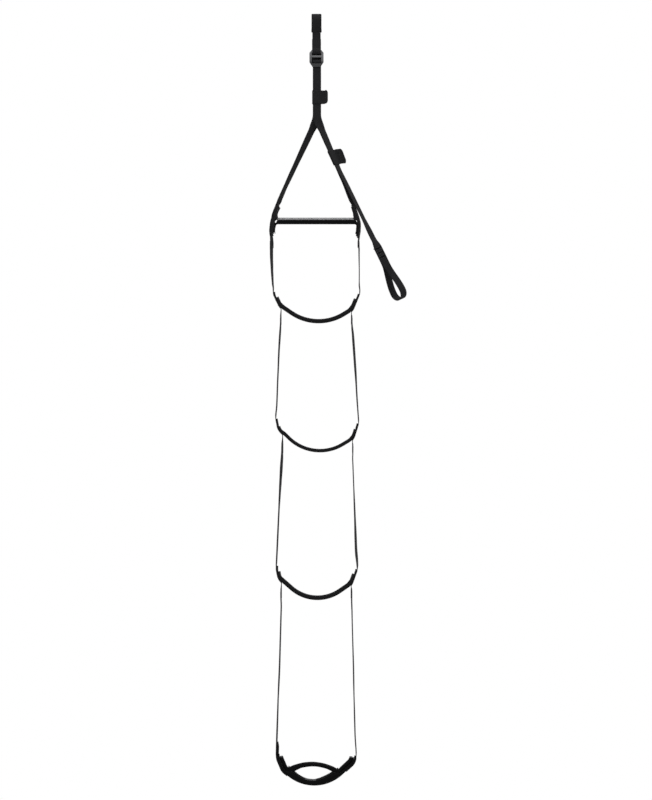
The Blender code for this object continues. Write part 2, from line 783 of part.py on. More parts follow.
def make_patch(name, leg, across, side, thickness, fall):
    """A folded reinforcement sewn to the leg's inner face beside the bar."""
    chosen = [i for i, point in enumerate(leg) if bar_level - fall <= point.z <= bar_level + patch_rise]
    off = half_web + seat_gap + thickness / 2
    points = beside(leg, across, -side * off)
    route = [points[i] for i in chosen]
    strap(name, route, [across[i] for i in chosen], webbing_black, ladder_frame, thickness)


class Stage:
    """One set of rails with its step: the places that its pieces share."""

    def __init__(self, number, bottom, radius, left, right, ends, leaves, above, fold):
        self.number = number
        self.bottom = bottom
        self.ends = dict(zip((-1, 1), ends))
        self.leaves = dict(zip((-1, 1), leaves))
        self.above = above
        self.fold = fold
        self.pieces = {}
        for side, (turn, straight, end_turn, end_straight, last_turn) in ((-1, left), (1, right)):
            self.pieces[side] = ((radius * turn, radius), (straight, 0), (end_bend_radius * end_turn, end_bend_radius),
                                 (end_straight, 0), (end_bend_radius * last_turn, end_bend_radius))
        self.stations = self.find_stations()
        self.next_fold = min(self.at(side * self.leaves[side], pitch).z for side in (-1, 1)) - step_fold_clearance
        self.frame = None

    def at(self, length, outward=0.0):
        """A point outside the strap's middle line; lengths run from its lowest point, left negative."""
        side = -1 if length < 0 else 1
        rest = abs(length)
        x, z, heading = 0.0, 0.0, 0.0
        for run, radius in self.pieces[side]:
            step = min(rest, run)
            rest -= step
            if radius:
                x += radius * (math.sin(heading + step / radius) - math.sin(heading))
                z += radius * (math.cos(heading) - math.cos(heading + step / radius))
                heading += step / radius
            else:
                x += step * math.cos(heading)
                z += step * math.sin(heading)
        x += rest * math.cos(heading) + outward * math.sin(heading)
        z += rest * math.sin(heading) - outward * math.cos(heading)
        return self.bottom + flat(side * x, z)

    def find_stations(self):
        """Lengths at which every layer of the step has its corners."""
        found = [0.0]
        for side in (-1, 1):
            length = 0.0
            for run, radius in self.pieces[side]:
                pieces = max(1, math.ceil(run / (radius * arc_step)) if radius else round(run / webbing_width))
                found += [side * (length + run * i / pieces) for i in range(1, pieces + 1)]
                length += run
        return sorted(found)

    def lengths(self, start, end):
        low, high = min(start, end), max(start, end)
        inside = [length for length in self.stations if low + pitch < length < high - pitch]
        found = [low] + inside + [high]
        return found if start < end else found[::-1]

    def stub_x(self, side):
        """Where the rail hangs below the step; the next stage's rail laps its outer face."""
        return self.at(side * self.leaves[side], pitch).x


def rail_route(stage, side, last):
    top_x = stage.above[side] + side * pitch
    kink = stage.at(side * (stage.ends[side] + kink_lead), pitch)
    hug = [stage.at(length, pitch) for length in stage.lengths(side * stage.ends[side], side * stage.leaves[side])]
    corners = [flat(top_x, stage.fold + lap_half), flat(top_x, stage.fold - lap_straight), kink, hug[0]]
    route = rounded_route(corners, (shoulder_round, kink_round), webbing_width * 2) + hug[1:]
    if last:
        return route
    leave = route[-1]
    turn = [route[-2], leave, flat(leave.x, stage.next_fold - lap_half)]
    return route[:-2] + rounded_route(turn, (leave_round,), webbing_width * 2)


def make_rails(stage, last=False):
    for side, word in ((-1, "left"), (1, "right")):
        route = rail_route(stage, side, last)
        strap(f"rail_{word}_{stage.number}", route, [BACK] * len(route), webbing_black, stage.frame)


def make_tread(stage, names, ends, width, height):
    """A flat webbing tube on top of the step strap, with a flexible strip inside it."""
    sleeve, filler = names
    lengths = stage.lengths(-ends[0], ends[1])
    sizes = [height(length / ends[length > 0]) for length in lengths]
    route = [stage.at(length, -half_web - seat_gap - size / 2) for length, size in zip(lengths, sizes)]
    across = [BACK] * len(route)
    flat_tube(sleeve, route, across, tread_black, stage.frame, [width - tread_wall] * len(route),
              [size - tread_wall for size in sizes], tread_wall)
    thickness = [size - 2 * tread_wall - 2 * seat_gap for size in sizes]
    inner_width = min(stiffener_width, width - max(sizes) - 2 * seat_gap)
    flat_bar(filler, route, across, stiff_plastic, stage.frame, inner_width, thickness)


def make_strap(stage, name):
    route = [stage.at(length) for length in stage.lengths(-stage.ends[-1], stage.ends[1])]
    strap(name, route, [BACK] * len(route), webbing_black, stage.frame)


def make_step(stage, tread_ends, tread_height):
    make_strap(stage, f"step_strap_{stage.number}")
    names = (f"tread_sleeve_{stage.number}", f"tread_stiffener_{stage.number}")
    make_tread(stage, names, tread_ends, tread_width, lambda share: tread_height)
    make_rails(stage)


def make_arch(stage):
    """The upper band: its ends lie on the foot sleeve and its middle bows up."""
    inner = -half_web - 2 * seat_gap - foot_end_height - arch_height / 2
    reach = [join + arch_corner_round for join in arch_joins]
    left = [stage.at(length, inner) for length in stage.lengths(-arch_ends[0], -reach[0])]
    right = [stage.at(length, inner) for length in stage.lengths(reach[1], arch_ends[1])]
    start, end = stage.at(-arch_joins[0], inner), stage.at(arch_joins[1], inner)
    span = end - start
    bulge = Vector((-span.z, 0, span.x)).normalized() * arch_rise
    bow = [start + span * i / 12 + bulge * 4 * (i / 12) * (1 - i / 12) for i in range(1, 12)]
    left_turn = rounded_route([left[-1], start, bow[0]], (arch_corner_round,), webbing_width)
    right_turn = rounded_route([bow[-1], end, right[0]], (arch_corner_round,), webbing_width)
    route = left[:-1] + left_turn + bow[1:-1] + right_turn + right[1:]
    across = [BACK] * len(route)
    flat_tube("arch_sleeve", route, across, tread_black, stage.frame, [tread_width - tread_wall] * len(route),
              [arch_height - tread_wall] * len(route), tread_wall)
    thickness = arch_height - 2 * tread_wall - 2 * seat_gap
    flat_bar("arch_stiffener", route, across, stiff_plastic, stage.frame,
             tread_width - arch_height - 2 * seat_gap, [thickness] * len(route))


def make_foot(stage):
    make_strap(stage, "foot_strap")

    def height(share):
        thinning = ease((abs(share) - foot_thin_shares[0]) / (foot_thin_shares[1] - foot_thin_shares[0]))
        return foot_tread_height + (foot_end_height - foot_tread_height) * thinning
    make_tread(stage, ("foot_sleeve", "foot_stiffener"), foot_tread_ends, foot_tread_width, height)
    make_rails(stage, last=True)
    make_arch(stage)


make_clip_in()
make_buckle()
make_lock_wrap()
make_legs()
make_tail()
make_keepers()
make_bar()
make_cradle()
make_patch("bar_patch_left", left_leg, left_across, -1, left_patch_thickness, left_patch_fall)
make_patch("bar_patch_right", right_leg, right_across, 1, right_patch_thickness, right_patch_fall)

first_low = flat(first_step_shift, bar_level - first_step_fall + half_web)
second_low = flat(second_step_shift, first_low.z - second_step_fall)
third_low = flat(third_step_shift, second_low.z - third_step_fall)
foot_low = flat(foot_shift, third_low.z - foot_fall)
stage_1 = Stage(1, first_low, first_step_radius, first_left, first_right, first_strap_ends, first_leaves,
                {-1: -left_rail_offset, 1: right_rail_offset}, fold_1)
stage_1.frame = empty("stage_1_frame", flat(0, stage_1.fold), ladder_frame)
make_step(stage_1, first_tread_ends, first_tread_height)
stage_2 = Stage(2, second_low, second_step_radius, second_left, second_right, second_strap_ends, second_leaves,
                {side: stage_1.stub_x(side) for side in (-1, 1)}, stage_1.next_fold)
stage_2.frame = empty("stage_2_frame", flat(0, stage_2.fold), stage_1.frame)
make_step(stage_2, second_tread_ends, second_tread_height)
stage_3 = Stage(3, third_low, third_step_radius, third_left, third_right, third_strap_ends, third_leaves,
                {side: stage_2.stub_x(side) for side in (-1, 1)}, stage_2.next_fold)
stage_3.frame = empty("stage_3_frame", flat(0, stage_3.fold), stage_2.frame)
make_step(stage_3, third_tread_ends, third_tread_height)
foot = Stage(4, foot_low, foot_radius, foot_left, foot_right, foot_strap_ends, foot_rail_ends,
             {side: stage_3.stub_x(side) for side in (-1, 1)}, stage_3.next_fold)
foot.frame = empty("stage_4_frame", flat(0, foot.fold), stage_3.frame)
make_foot(foot)
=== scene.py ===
"""Dressed model of the webbing wall ladder: fine webbing, sewing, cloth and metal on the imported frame.

Metres, +Z up, front towards -Y. The routes repeat those of the part's source. A side is -1 for left
and 1 for right, and a pair is (left, right).
"""
import math

import bmesh
import bpy
from mathutils import Matrix, Vector, noise


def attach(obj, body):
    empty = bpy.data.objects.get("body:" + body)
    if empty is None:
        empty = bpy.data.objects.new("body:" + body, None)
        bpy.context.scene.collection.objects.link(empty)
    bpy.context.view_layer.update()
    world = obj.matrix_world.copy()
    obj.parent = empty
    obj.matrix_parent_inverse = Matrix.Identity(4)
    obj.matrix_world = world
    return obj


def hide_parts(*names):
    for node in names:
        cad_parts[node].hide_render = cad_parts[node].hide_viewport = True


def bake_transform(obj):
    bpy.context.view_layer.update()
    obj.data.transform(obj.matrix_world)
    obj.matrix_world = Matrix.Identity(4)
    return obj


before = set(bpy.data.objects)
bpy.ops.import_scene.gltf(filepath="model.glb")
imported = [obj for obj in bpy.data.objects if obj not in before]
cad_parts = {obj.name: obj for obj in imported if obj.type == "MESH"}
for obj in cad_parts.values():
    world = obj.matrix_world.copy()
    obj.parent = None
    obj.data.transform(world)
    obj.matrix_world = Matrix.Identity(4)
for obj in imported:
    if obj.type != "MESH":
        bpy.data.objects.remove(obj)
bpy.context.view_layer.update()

scene = bpy.context.scene

# The photograph's camera, level with the second step
camera_distance = 5
camera_sensor = 36
view_height = 1.92
camera = bpy.data.objects.new("camera", bpy.data.cameras.new("camera"))
scene.collection.objects.link(camera)
camera.location = (0.0228, -camera_distance, -0.9226)
camera.rotation_euler = (math.pi / 2, 0, 0)
camera.data.sensor_width = camera_sensor
camera.data.lens = camera_sensor * camera_distance / view_height
scene.camera = camera

UP = Vector((0, 0, 1))
BACK = Vector((0, 1, 0))
RIGHT = Vector((1, 0, 0))
SIDE_WORDS = {-1: "left", 1: "right"}

# Webbing and clearances
webbing_width = 0.020
webbing_thickness = 0.0015
seat_gap = 0.0003
pitch = webbing_thickness + seat_gap
half_web = webbing_thickness / 2

# Clip-in loop and its wear sleeve
loop_crown_radius = 0.010
loop_taper_length = 0.050
sleeve_length = 0.0405
sleeve_wall = 0.0010
sleeve_inner_width = 0.0219
sleeve_inner_height = 0.0021
sleeve_flare = 0.0009
sleeve_unevenness = 0.0003
sleeve_rows = (0.0035, 0.0058)
sleeve_stitch = 0.0020
sleeve_stitch_start = -0.0098
sleeve_stitch_step = 0.0028
loop_sewn_top = -0.044
loop_sewn_end = -0.078
crown_level = sleeve_wall + seat_gap + half_web
# The loop's sewn end behind the buckle: how far back it hangs, and its levels
flap_offs = (0.0027, 0.0022, 0.0023, 0.0075)
flap_levels = (-0.0560, -0.0640, -0.0816, -0.1116)
flap_thickness = 0.0013
flap_width = 0.0215
flap_zone = ("clip_in", "buckle", (0, 0, -0.0800), (0, 0, -0.0926))

# Slide-lock buckle
buckle_top = -0.0828
buckle_thickness = 0.004
top_bar_height = 0.007
lower_bar_drop = 0.0322
bar_loop_slack = 0.0008
lock_bar_diameter = 0.005
wrap_tail_length = 0.001
top_bar_level = buckle_top - top_bar_height / 2
lower_bar_top = buckle_top - lower_bar_drop
tail_ply_y = buckle_thickness / 2 + seat_gap + half_web
load_ply_y = tail_ply_y + pitch
ply_y = {-1: load_ply_y + 2 * pitch, 1: load_ply_y + pitch}
wrap_radius = lock_bar_diameter / 2 + seat_gap + half_web
lock_bar_y = load_ply_y - wrap_radius
lock_bar_level = lower_bar_top + wrap_radius + seat_gap + half_web + seat_gap
wrap_end_level = lower_bar_top - wrap_tail_length
# Painted shade: dark strips inside the frame where the grooves' walls lie in shade, as (middle, width)
groove_shade_strips = {-1: (-0.0109, 0.0042), 1: (0.0116, 0.0028)}
groove_wall_y = -0.0016
groove_wall_thickness = 0.0006
groove_wall_margin = 0.0055
groove_wall_step = 0.0028

# Head strap and keepers
strap_line_x = 0.001
load_start = wrap_end_level - seat_gap
load_end = load_start - 0.124
leg_lap = {-1: 0.044, 1: 0.050}
split_drop = 0.247
keeper_wall = 0.0012
keeper_slack = 0.0003
keeper_tab_root = 0.004
keeper_tab_round = 0.004
keeper_rows = 24
keeper_corner_cuts = (0.22, 0.78)
keeper_stitch_rows = (keeper_tab_root + 0.0022, keeper_tab_root + 0.0050)
upper_keeper_height = 0.032
upper_keeper_drop = 0.1793
upper_keeper_tab = 0.0107
upper_keeper_tab_rise = 0.0015
lower_keeper_height = 0.034
lower_keeper_drop = 0.3405
lower_keeper_tab = 0.017
lower_keeper_tab_turn = math.radians(58)
lower_keeper_tab_rise = -0.0030
# How far a tab's edge is drawn in, by share of the keeper's height
keeper_pull_stations = ((0, 1), (0.06, 0.45), (0.14, 0.12), (0.22, 0), (0.78, 0), (0.86, 0.12), (0.94, 0.45),
                        (1, 1))

# Legs and spreader bar
bar_level = -0.49125
bar_length = 0.186
bar_diameter = 0.0125
plug_flange = 0.0014
cradle_width = 0.0235
cradle_corner_radius = 0.0055
cradle_tab_fall = 0.033
cradle_doubling = 0.0017
rail_reach = {-1: 0.014, 1: 0.0074}
bar_room = {-1: 0.0019, 1: 0.0003}
patch_room = {-1: 0.0105, 1: 0.0048}
patch_rise = 0.034
patch_fall = {-1: 0.0355, 1: 0.040}
patch_plies = {-1: 3, 1: 2}
patch_top_room = 0.0045
patch_top_step = 0.001
patch_end_step = 0.0035
patch_swell = 1.03
patch_narrowing = 0.012
split_round = 0.056
shoulder_round = 0.045
shoulder_drop = 0.0025
lean_back_fall = 0.040
lap_half = 0.008
lap_straight = 0.020
kink_round = 0.018
kink_lead = 0.008
leave_round = 0.006
first_fold = bar_level - 0.0582
fold_reach = 0.012
split_to_bar = -bar_level - split_drop
# Twist of each leg, as (share of the drop from split to bar, degrees)
twist_stations = ((0, 0), (0.13, 45), (0.52, 60), (0.80, 72), (0.875, 90))
# How far the left leg stands off behind the right one, as (share of the same drop, share of the spread)
split_spread = {-1: 0.0016, 1: 0}
spread_stations = ((-0.045, 0), (0.02, 1), (0.4, 0))
# The legs by their depth below the crown: how far each strays to the right of its straight line,
leg_bows = {
    -1: ((0.410, 0), (0.430, 0.0006), (0.449, 0.0014), (0.457, 0), (0.469, 0.0002), (0.476, 0.0010),
         (0.488, 0.0034), (0.495, 0.0028), (0.503, 0.0018), (0.510, 0), (0.517, -0.0016), (0.524, -0.0018),
         (0.534, -0.0008), (0.546, 0)),
    1: ((0.488, 0), (0.500, 0.0006), (0.510, 0.0014), (0.517, 0.0020), (0.530, 0.0016), (0.546, 0)),
}
# how many degrees it shows its face,
leg_turns = {
    -1: ((0.405, 0), (0.435, 8), (0.450, 13), (0.475, 12), (0.518, 12), (0.538, 20)),
    1: ((0.395, 0), (0.440, 18), (0.465, 17), (0.490, 8), (0.538, 8.5)),
}
# and the depth of the stack sewn inside it at the bar
patch_depths = {
    -1: ((0.452, 0.0074), (0.458, 0.0078), (0.466, 0.0074), (0.474, 0.0080), (0.480, 0.0108),
         (0.4862, 0.0118), (0.4882, 0.0060), (0.4945, 0.0060), (0.4975, 0.0098), (0.505, 0.0098),
         (0.512, 0.0088), (0.519, 0.0084), (0.535, 0.0082)),
    1: ((0.452, 0.0040), (0.470, 0.0062), (0.479, 0.0095), (0.4862, 0.0120), (0.4882, 0.0050),
        (0.4945, 0.0050), (0.498, 0.0056), (0.519, 0.0058), (0.535, 0.0060)),
}

# Free tail with its hand loop, by lengths along it from its anchor on the leg
tail_start_drop = 0.455
tail_splay = math.radians(3.1)
tail_anchor_room = 0.0024
tail_anchor_drop = 0.3706
tail_overlap = 0.0004
tail_twist = math.radians(62)
tail_opens = math.radians(13)
tail_stretch_level = -0.347
hand_loop_twist = math.radians(35)
hand_loop_end = 0.343
hand_loop_width = 0.038
hand_loop_shift = -0.0035
hand_loop_open = 0.238
sewn_loop_start = 0.207
sewn_loop_twist = math.radians(14)
sewn_loop_lead = 0.0138
sewn_loop_flare = 0.0045
sewn_loop_span = slice(24, 36)

# Stages from the top: fall of the lowest point below the bar or the last step, shift to the right, radius
# in the middle; the pair of curves, each by middle turn, straight, tighter turn, second straight and last
# turn up to the rail; pairs of lengths from the lowest point to the strap's end, the tread's end and the
# rail's leave; the tread's height
stage_sizes = (
    (0.24705, 0.0049, 0.120, ((34.3, 0.0225, 30.6, 0.020, 27), (31.9, 0.0115, 36, 0.029, 22)),
     (0.141, 0.130), (0.126, 0.116), (0.0975, 0.084), 0.0082),
    (0.3098, 0.0081, 0.1094, ((44.5, 0.023, 35.2, 0.015, 13), (31.1, 0.016, 41.5, 0.025, 21)),
     (0.143, 0.126), (0.124, 0.111), (0.101, 0.084), 0.0064),
    (0.3538, 0.0023, 0.0981, ((41, 0.028, 38.1, 0.011, 14), (34.4, 0.022, 35.9, 0.025, 22)),
     (0.139, 0.129), (0.125, 0.116), (0.098, 0.089), 0.0080),
    (0.4444, -0.0052, 0.0986, ((37.7, 0.0135, 29.3, 0.019, 24), (42.5, 0.031, 45.2, 0.004, 4)),
     (0.124, 0.128), (0.119, 0.122), (0.070, 0.085), 0.0050),
)
end_bend_radius = 0.028
step_fold_clearance = 0.0225
# Twist of each rail, by stage and side, as (share of the way from its fold to its step, degrees)
rail_twists = {
    (1, -1): ((0, 20), (0.25, 19), (0.38, 17), (0.65, 13), (0.91, 8.4), (1, 5)),
    (1, 1): ((0, 8.5), (0.25, 6.1), (0.56, 4), (0.8, 4), (0.91, 7), (1, 5)),
    (2, -1): ((0, 4.5), (0.12, 9), (0.2, 8.7), (0.32, 7), (0.57, 5.4), (1, 5)),
    (2, 1): ((0, 7), (0.12, 13), (0.2, 14.7), (0.45, 13.7), (0.7, 8.2), (1, 6)),
    (3, -1): ((0, 9), (0.1, 15), (0.16, 16.7), (0.29, 13.3), (0.41, 9.5), (0.54, 5.8), (0.79, 7), (1, 6)),
    (3, 1): ((0, 5), (0.29, 5), (0.54, 9.3), (0.79, 15), (0.91, 16.3), (1, 10)),
    (4, -1): ((0, 5), (0.3, 6), (0.54, 7.4), (0.65, 5.2), (0.88, 7.4), (1, 6)),
    (4, 1): ((0, 7), (0.2, 5), (0.54, 7), (0.65, 5), (0.77, 6.7), (1, 5)),
}
# How far each rail strays to the right of its straight line, at the same shares
rail_bows = {
    (1, -1): ((0, 0), (0.14, 0.0008), (0.38, 0), (0.65, -0.0006), (0.9, -0.0006), (1, 0)),
    (1, 1): ((0, 0), (0.5, -0.0003), (0.88, -0.0010), (1, 0)),
    (2, -1): ((0, 0), (0.32, -0.0006), (0.57, 0), (0.9, 0.0010), (1, 0)),
    (2, 1): ((0, 0), (0.15, 0.0010), (0.5, 0.0009), (0.82, 0), (1, 0)),
    (3, -1): ((0, 0), (0.5, -0.0006), (1, 0)),
    (3, 1): ((0, 0), (0.1, -0.0013), (0.6, -0.0014), (0.85, -0.0017), (1, 0)),
    (4, -1): ((0, 0), (0.1, 0.0017), (0.43, 0.0017), (0.7, 0.0004), (1, 0)),
    (4, 1): ((0, 0), (0.2, -0.0006), (0.43, -0.0006), (0.65, -0.0013), (0.88, -0.0014), (1, 0)),
}
kink_settling = 6
lap_meet = 0.0007
lap_meet_share = 0.12
lap_drop = 0.004
doubled_end = 0.0019
doubled_reach = 0.002
foot_strap_top = -1.742
foot_end_depth = 0.0018
foot_end_growth = 0.0026
foot_end_overlap = 0.006

# Treads; the bottom step's band swells under the arch's ends, as (share of its length to the end, height)
tread_width = 0.024
tread_wall = 0.0013
tread_end_share = 0.42
tread_end_reach = 0.026
foot_tread_width = 0.034
foot_end_rise = 0.0070
foot_heights = {
    -1: ((0, 0.0102), (0.145, 0.0102), (0.23, 0.0108), (0.31, 0.0120), (0.40, 0.0134), (0.49, 0.0150),
         (0.56, 0.0130), (0.61, 0.0088), (0.66, 0.0050)),
    1: ((0, 0.0104), (0.10, 0.0122), (0.17, 0.0136), (0.23, 0.0150), (0.36, 0.0164), (0.455, 0.0170),
        (0.52, 0.0132), (0.57, 0.0084), (0.61, 0.0050)),
}
arch_ends = (0.121, 0.125)
arch_joins = (0.077, 0.070)
arch_height = 0.0078
arch_rise = 0.0157
arch_corner_round = 0.006
# Height of the arch's sleeve, by its place across the ladder
arch_heights = ((-0.075, 0.0078), (-0.068, 0.0105), (-0.060, 0.0150), (-0.051, 0.0122), (-0.036, 0.0098),
                (0, 0.0086), (0.025, 0.0088), (0.039, 0.0098), (0.046, 0.0115), (0.054, 0.0108),
                (0.062, 0.0078))

# Sewing; a tack is (length, width, rows)
thread_radius = 0.00028
stitch_length = 0.0032
seam_margin = 0.004
edge_margin = 0.0056
row_half_gap = 0.0012
end_row_margin = 0.005
tack_margin = 0.006
lap_tack_margins = (0.007, 0.008)
strap_tack = (0.006, 0.0155, 9)
loop_tack = (0.005, 0.0165, 8)
loop_tack_places = (0.004, 0.020)
head_tack = (0.007, 0.0165, 10)
head_tack_places = (0.008, 0.024, 0.040)
head_sewn_end = -0.243
arch_tack = (0.005, 0.0155, 8)
# Two layers of a tread's tacks, as (shift, length, share of the tread's width, rows)
tread_tack_layers = ((0, 0.0045, 0.62, 7), (0.0003, 0.0040, 0.5, 6))
# Rows of sewing across each tread, as shares of its length
tread_tacks = {1: (0.12, 0.185, 0.245, 0.80, 0.87), 2: (0.13, 0.20, 0.27, 0.79, 0.87),
               3: (0.13, 0.20, 0.80, 0.87), 4: (0.10, 0.9)}
arch_tacks = (0.17, 0.25, 0.75, 0.83)
tail_tacks = (0.10, 0.5, 0.90)

# Fineness of the routes
fine_arc = math.radians(3)
fine_spacing = 0.0035
station_room = 0.0008


def shares(count):
    """Even shares from 0 to 1."""
    return [i / count for i in range(count + 1)]


def ease(share):
    """0 to 1 with level ends."""
    share = min(max(share, 0), 1)
    return share * share * (3 - 2 * share)


def rise(value, start, reach):
    """Eased share of the way over a reach from its start."""
    return ease((value - start) / reach)


def station_value(stations, share):
    """Eased value between stations given as (share, value)."""
    if share <= stations[0][0]:
        return stations[0][1]
    for (start, low), (end, high) in zip(stations, stations[1:]):
        if share < end:
            return low + (high - low) * rise(share, start, end - start)
    return stations[-1][1]


def flat(x, z):
    """A point of the ladder's plane."""
    return Vector((x, 0, z))


def arc(x, y, radius, first, final, count):
    """Points on a circle round (x, y) from the first to the final angle, in degrees."""
    turns = [math.radians(first + (final - first) * share) for share in shares(count)]
    return [(x + radius * math.cos(turn), y + radius * math.sin(turn)) for turn in turns]


def directions(points, closed=False):
    """The unit tangent at each point of a route."""
    if closed:
        before, after = points[-1:] + points[:-1], points[1:] + points[:1]
    else:
        before, after = points[:1] + points[:-1], points[1:] + points[-1:]
    return [(b - a).normalized() for a, b in zip(before, after)]


def through_directions(points, across, closed=False):
    """The direction through webbing at each point, out of its front face."""
    return [t.cross(a).normalized() for t, a in zip(directions(points, closed), across)]


def beside(points, across, moves):
    """The same route moved off its webbing's front face."""
    return [p + n * move for p, n, move in zip(points, through_directions(points, across), moves)]


def face_across(tangent, twist):
    """Width direction of webbing turned by twist from facing the front."""
    level = tangent.cross(BACK).normalized()
    turned = level * math.cos(twist) + BACK * math.sin(twist)
    return (turned - tangent * tangent.dot(turned)).normalized()


def turned_about(tangent, across, degrees):
    return (Matrix.Rotation(math.radians(degrees), 3, tangent) @ across).normalized()


def rounded_route(corners, radii):
    """A dense route through corners whose turns are arcs."""
    route = [corners[0]]
    for before, corner, after, radius in zip(corners, corners[1:], corners[2:], radii):
        come = (corner - before).normalized()
        leave = (after - corner).normalized()
        turn = come.angle(leave)
        side = (leave - come * come.dot(leave)).normalized()
        start = corner - come * radius * math.tan(turn / 2)
        for share in shares(max(2, math.ceil(turn / fine_arc))):
            done = turn * share
            route.append(start + come * radius * math.sin(done) + side * radius * (1 - math.cos(done)))
    route.append(corners[-1])
    dense = [route[0]]
    for before, after in zip(route, route[1:]):
        pieces = max(1, math.ceil((after - before).length / fine_spacing))
        dense += [before.lerp(after, share) for share in shares(pieces)[1:]]
    return dense


def clip_loop_route():
    """Closed route of the clip-in webbing: crown, pinched plies, loop round the top bar."""
    bar_radius = math.hypot(top_bar_height, buckle_thickness) / 2 + bar_loop_slack
    web_radius = bar_radius + half_web
    loop_top = top_bar_level + 2 * bar_radius
    crown_centre = crown_level - loop_crown_radius
    pinch = half_web + seat_gap / 2
    half = arc(0, crown_centre, loop_crown_radius, 90, 0, 20)
    half += [(loop_crown_radius + (pinch - loop_crown_radius) * ease(share),
              crown_centre - loop_taper_length * share) for share in shares(24)[1:]]
    half.append((pinch, (crown_centre - loop_taper_length + loop_top) / 2))
    half += [(pinch + (web_radius - pinch) * ease(share), loop_top + (top_bar_level - loop_top) * share)
             for share in shares(12)[:-1]]
    half += arc(0, top_bar_level, web_radius, 0, -90, 18)
    return [Vector((0, -y, z)) for y, z in half] + [Vector((0, y, z)) for y, z in half[-2:0:-1]]


def lock_wrap_outline():
    """The webbing comes up behind the lock bar, turns over it and leaves behind the lower bar."""
    return ([(load_ply_y, wrap_end_level)] + arc(lock_bar_y, lock_bar_level, wrap_radius, 0, 270, 72)
            + arc(buckle_thickness / 2, lower_bar_top, seat_gap + half_web, 90, 0, 8)
            + [(tail_ply_y, wrap_end_level)])


def bar_offset(side):
    """How far out the leg's corner lies, clear of the bar's plug with its patch and the cradle's end."""
    lean = math.atan(bar_length / 2 / split_to_bar)
    stack = half_web + seat_gap + patch_room[side] + seat_gap + webbing_thickness
    out = bar_length / 2 + plug_flange + stack / math.cos(lean) + bar_diameter / 2 * math.tan(lean)
    return out + bar_room[side]


def leg_route(side):
    """Leg from its sewn upper end, out at the split, past the bar and down to its lap."""
    rail_x = side * (bar_length / 2 + rail_reach[side])
    corners = [flat(strap_line_x, load_end + leg_lap[side]), flat(strap_line_x, -split_drop),
               flat(side * bar_offset(side), bar_level - shoulder_drop),
               flat(rail_x, bar_level - lean_back_fall), flat(rail_x, first_fold - lap_half)]
    route = rounded_route(corners, (split_round, shoulder_round, shoulder_round))
    falls = [(-split_drop - point.z) / split_to_bar for point in route]
    for point, share in zip(route, falls):
        point.y = ply_y[side] * (1 - ease(share)) + split_spread[side] * station_value(spread_stations, share)
    across = [face_across(tangent, math.radians(station_value(twist_stations, share)))
              for tangent, share in zip(directions(route), falls)]
    return route, across


def turned_leg(side):
    """The leg's width directions; its points are moved to where it strays."""
    turned = []
    for point, a, tangent in zip(leg_points[side], leg_widths[side], directions(leg_points[side])):
        turned.append(turned_about(tangent, a, station_value(leg_turns[side], -point.z)))
        point.x += station_value(leg_bows[side], -point.z)
    return turned


leg_points, leg_widths, leg_faces = {}, {}, {}
for side in SIDE_WORDS:
    leg_points[side], leg_widths[side] = leg_route(side)
    leg_faces[side] = turned_leg(side)

right_lean = math.atan((bar_offset(1) - strap_line_x) / (split_to_bar + shoulder_drop))
tail_angle = right_lean + tail_splay
tail_down = flat(math.sin(tail_angle), -math.cos(tail_angle))
tail_anchor = flat(strap_line_x + (tail_anchor_drop - split_drop) * math.tan(right_lean) + tail_anchor_room,
                   -tail_anchor_drop)
tail_start_length = (tail_start_drop - tail_anchor_drop) / math.cos(tail_angle)


def tail_place(along, off, twist):
    """A point of the free tail: along its line, off its front face."""
    across = face_across(tail_down, twist)
    return tail_anchor + tail_down * along + tail_down.cross(across).normalized() * off


def free_twist(along):
    """The free tail turns a little more to the front below the leg."""
    return tail_twist - tail_opens * rise(along, 0.127, 0.045)


def loop_twist(along):
    """Down the sewn part and the hand loop."""
    settled = sewn_loop_twist + (hand_loop_twist - sewn_loop_twist) * rise(along, hand_loop_open, 0.03)
    return free_twist(along) + (settled - free_twist(along)) * rise(along, sewn_loop_start - 0.020, 0.024)


def loop_lead(along):
    """The sewn end of the tail hangs a little in front of the leg."""
    settle = 1 - rise(along, hand_loop_open + 0.012, 0.035)
    return BACK * -sewn_loop_lead * rise(along, sewn_loop_start - 0.030, 0.028) * settle


def tail_upper_route():
    """The free ply in front of the load strap, then on the right leg's outer face."""
    start = Vector((strap_line_x, tail_ply_y, load_start))
    follow_end = -lower_keeper_drop - lower_keeper_height
    points = [point for point in leg_points[1] if point.z > follow_end]
    widths = leg_widths[1][:len(points)]
    closing = [pitch * (2 - rise(-point.z, webbing_width / 10 - load_end, webbing_width)) for point in points]
    follow = beside(points, widths, closing)
    straight = [(tail_start_length + tail_overlap) * share for share in shares(20)[9:]]
    above = [start.lerp(follow[0], share) for share in shares(20)[:-1]]
    route = above + follow + [tail_place(along, 0, free_twist(along)) for along in straight]
    below = [face_across(tail_down, free_twist(along)) for along in straight]
    return route, [RIGHT] * len(above) + widths + below


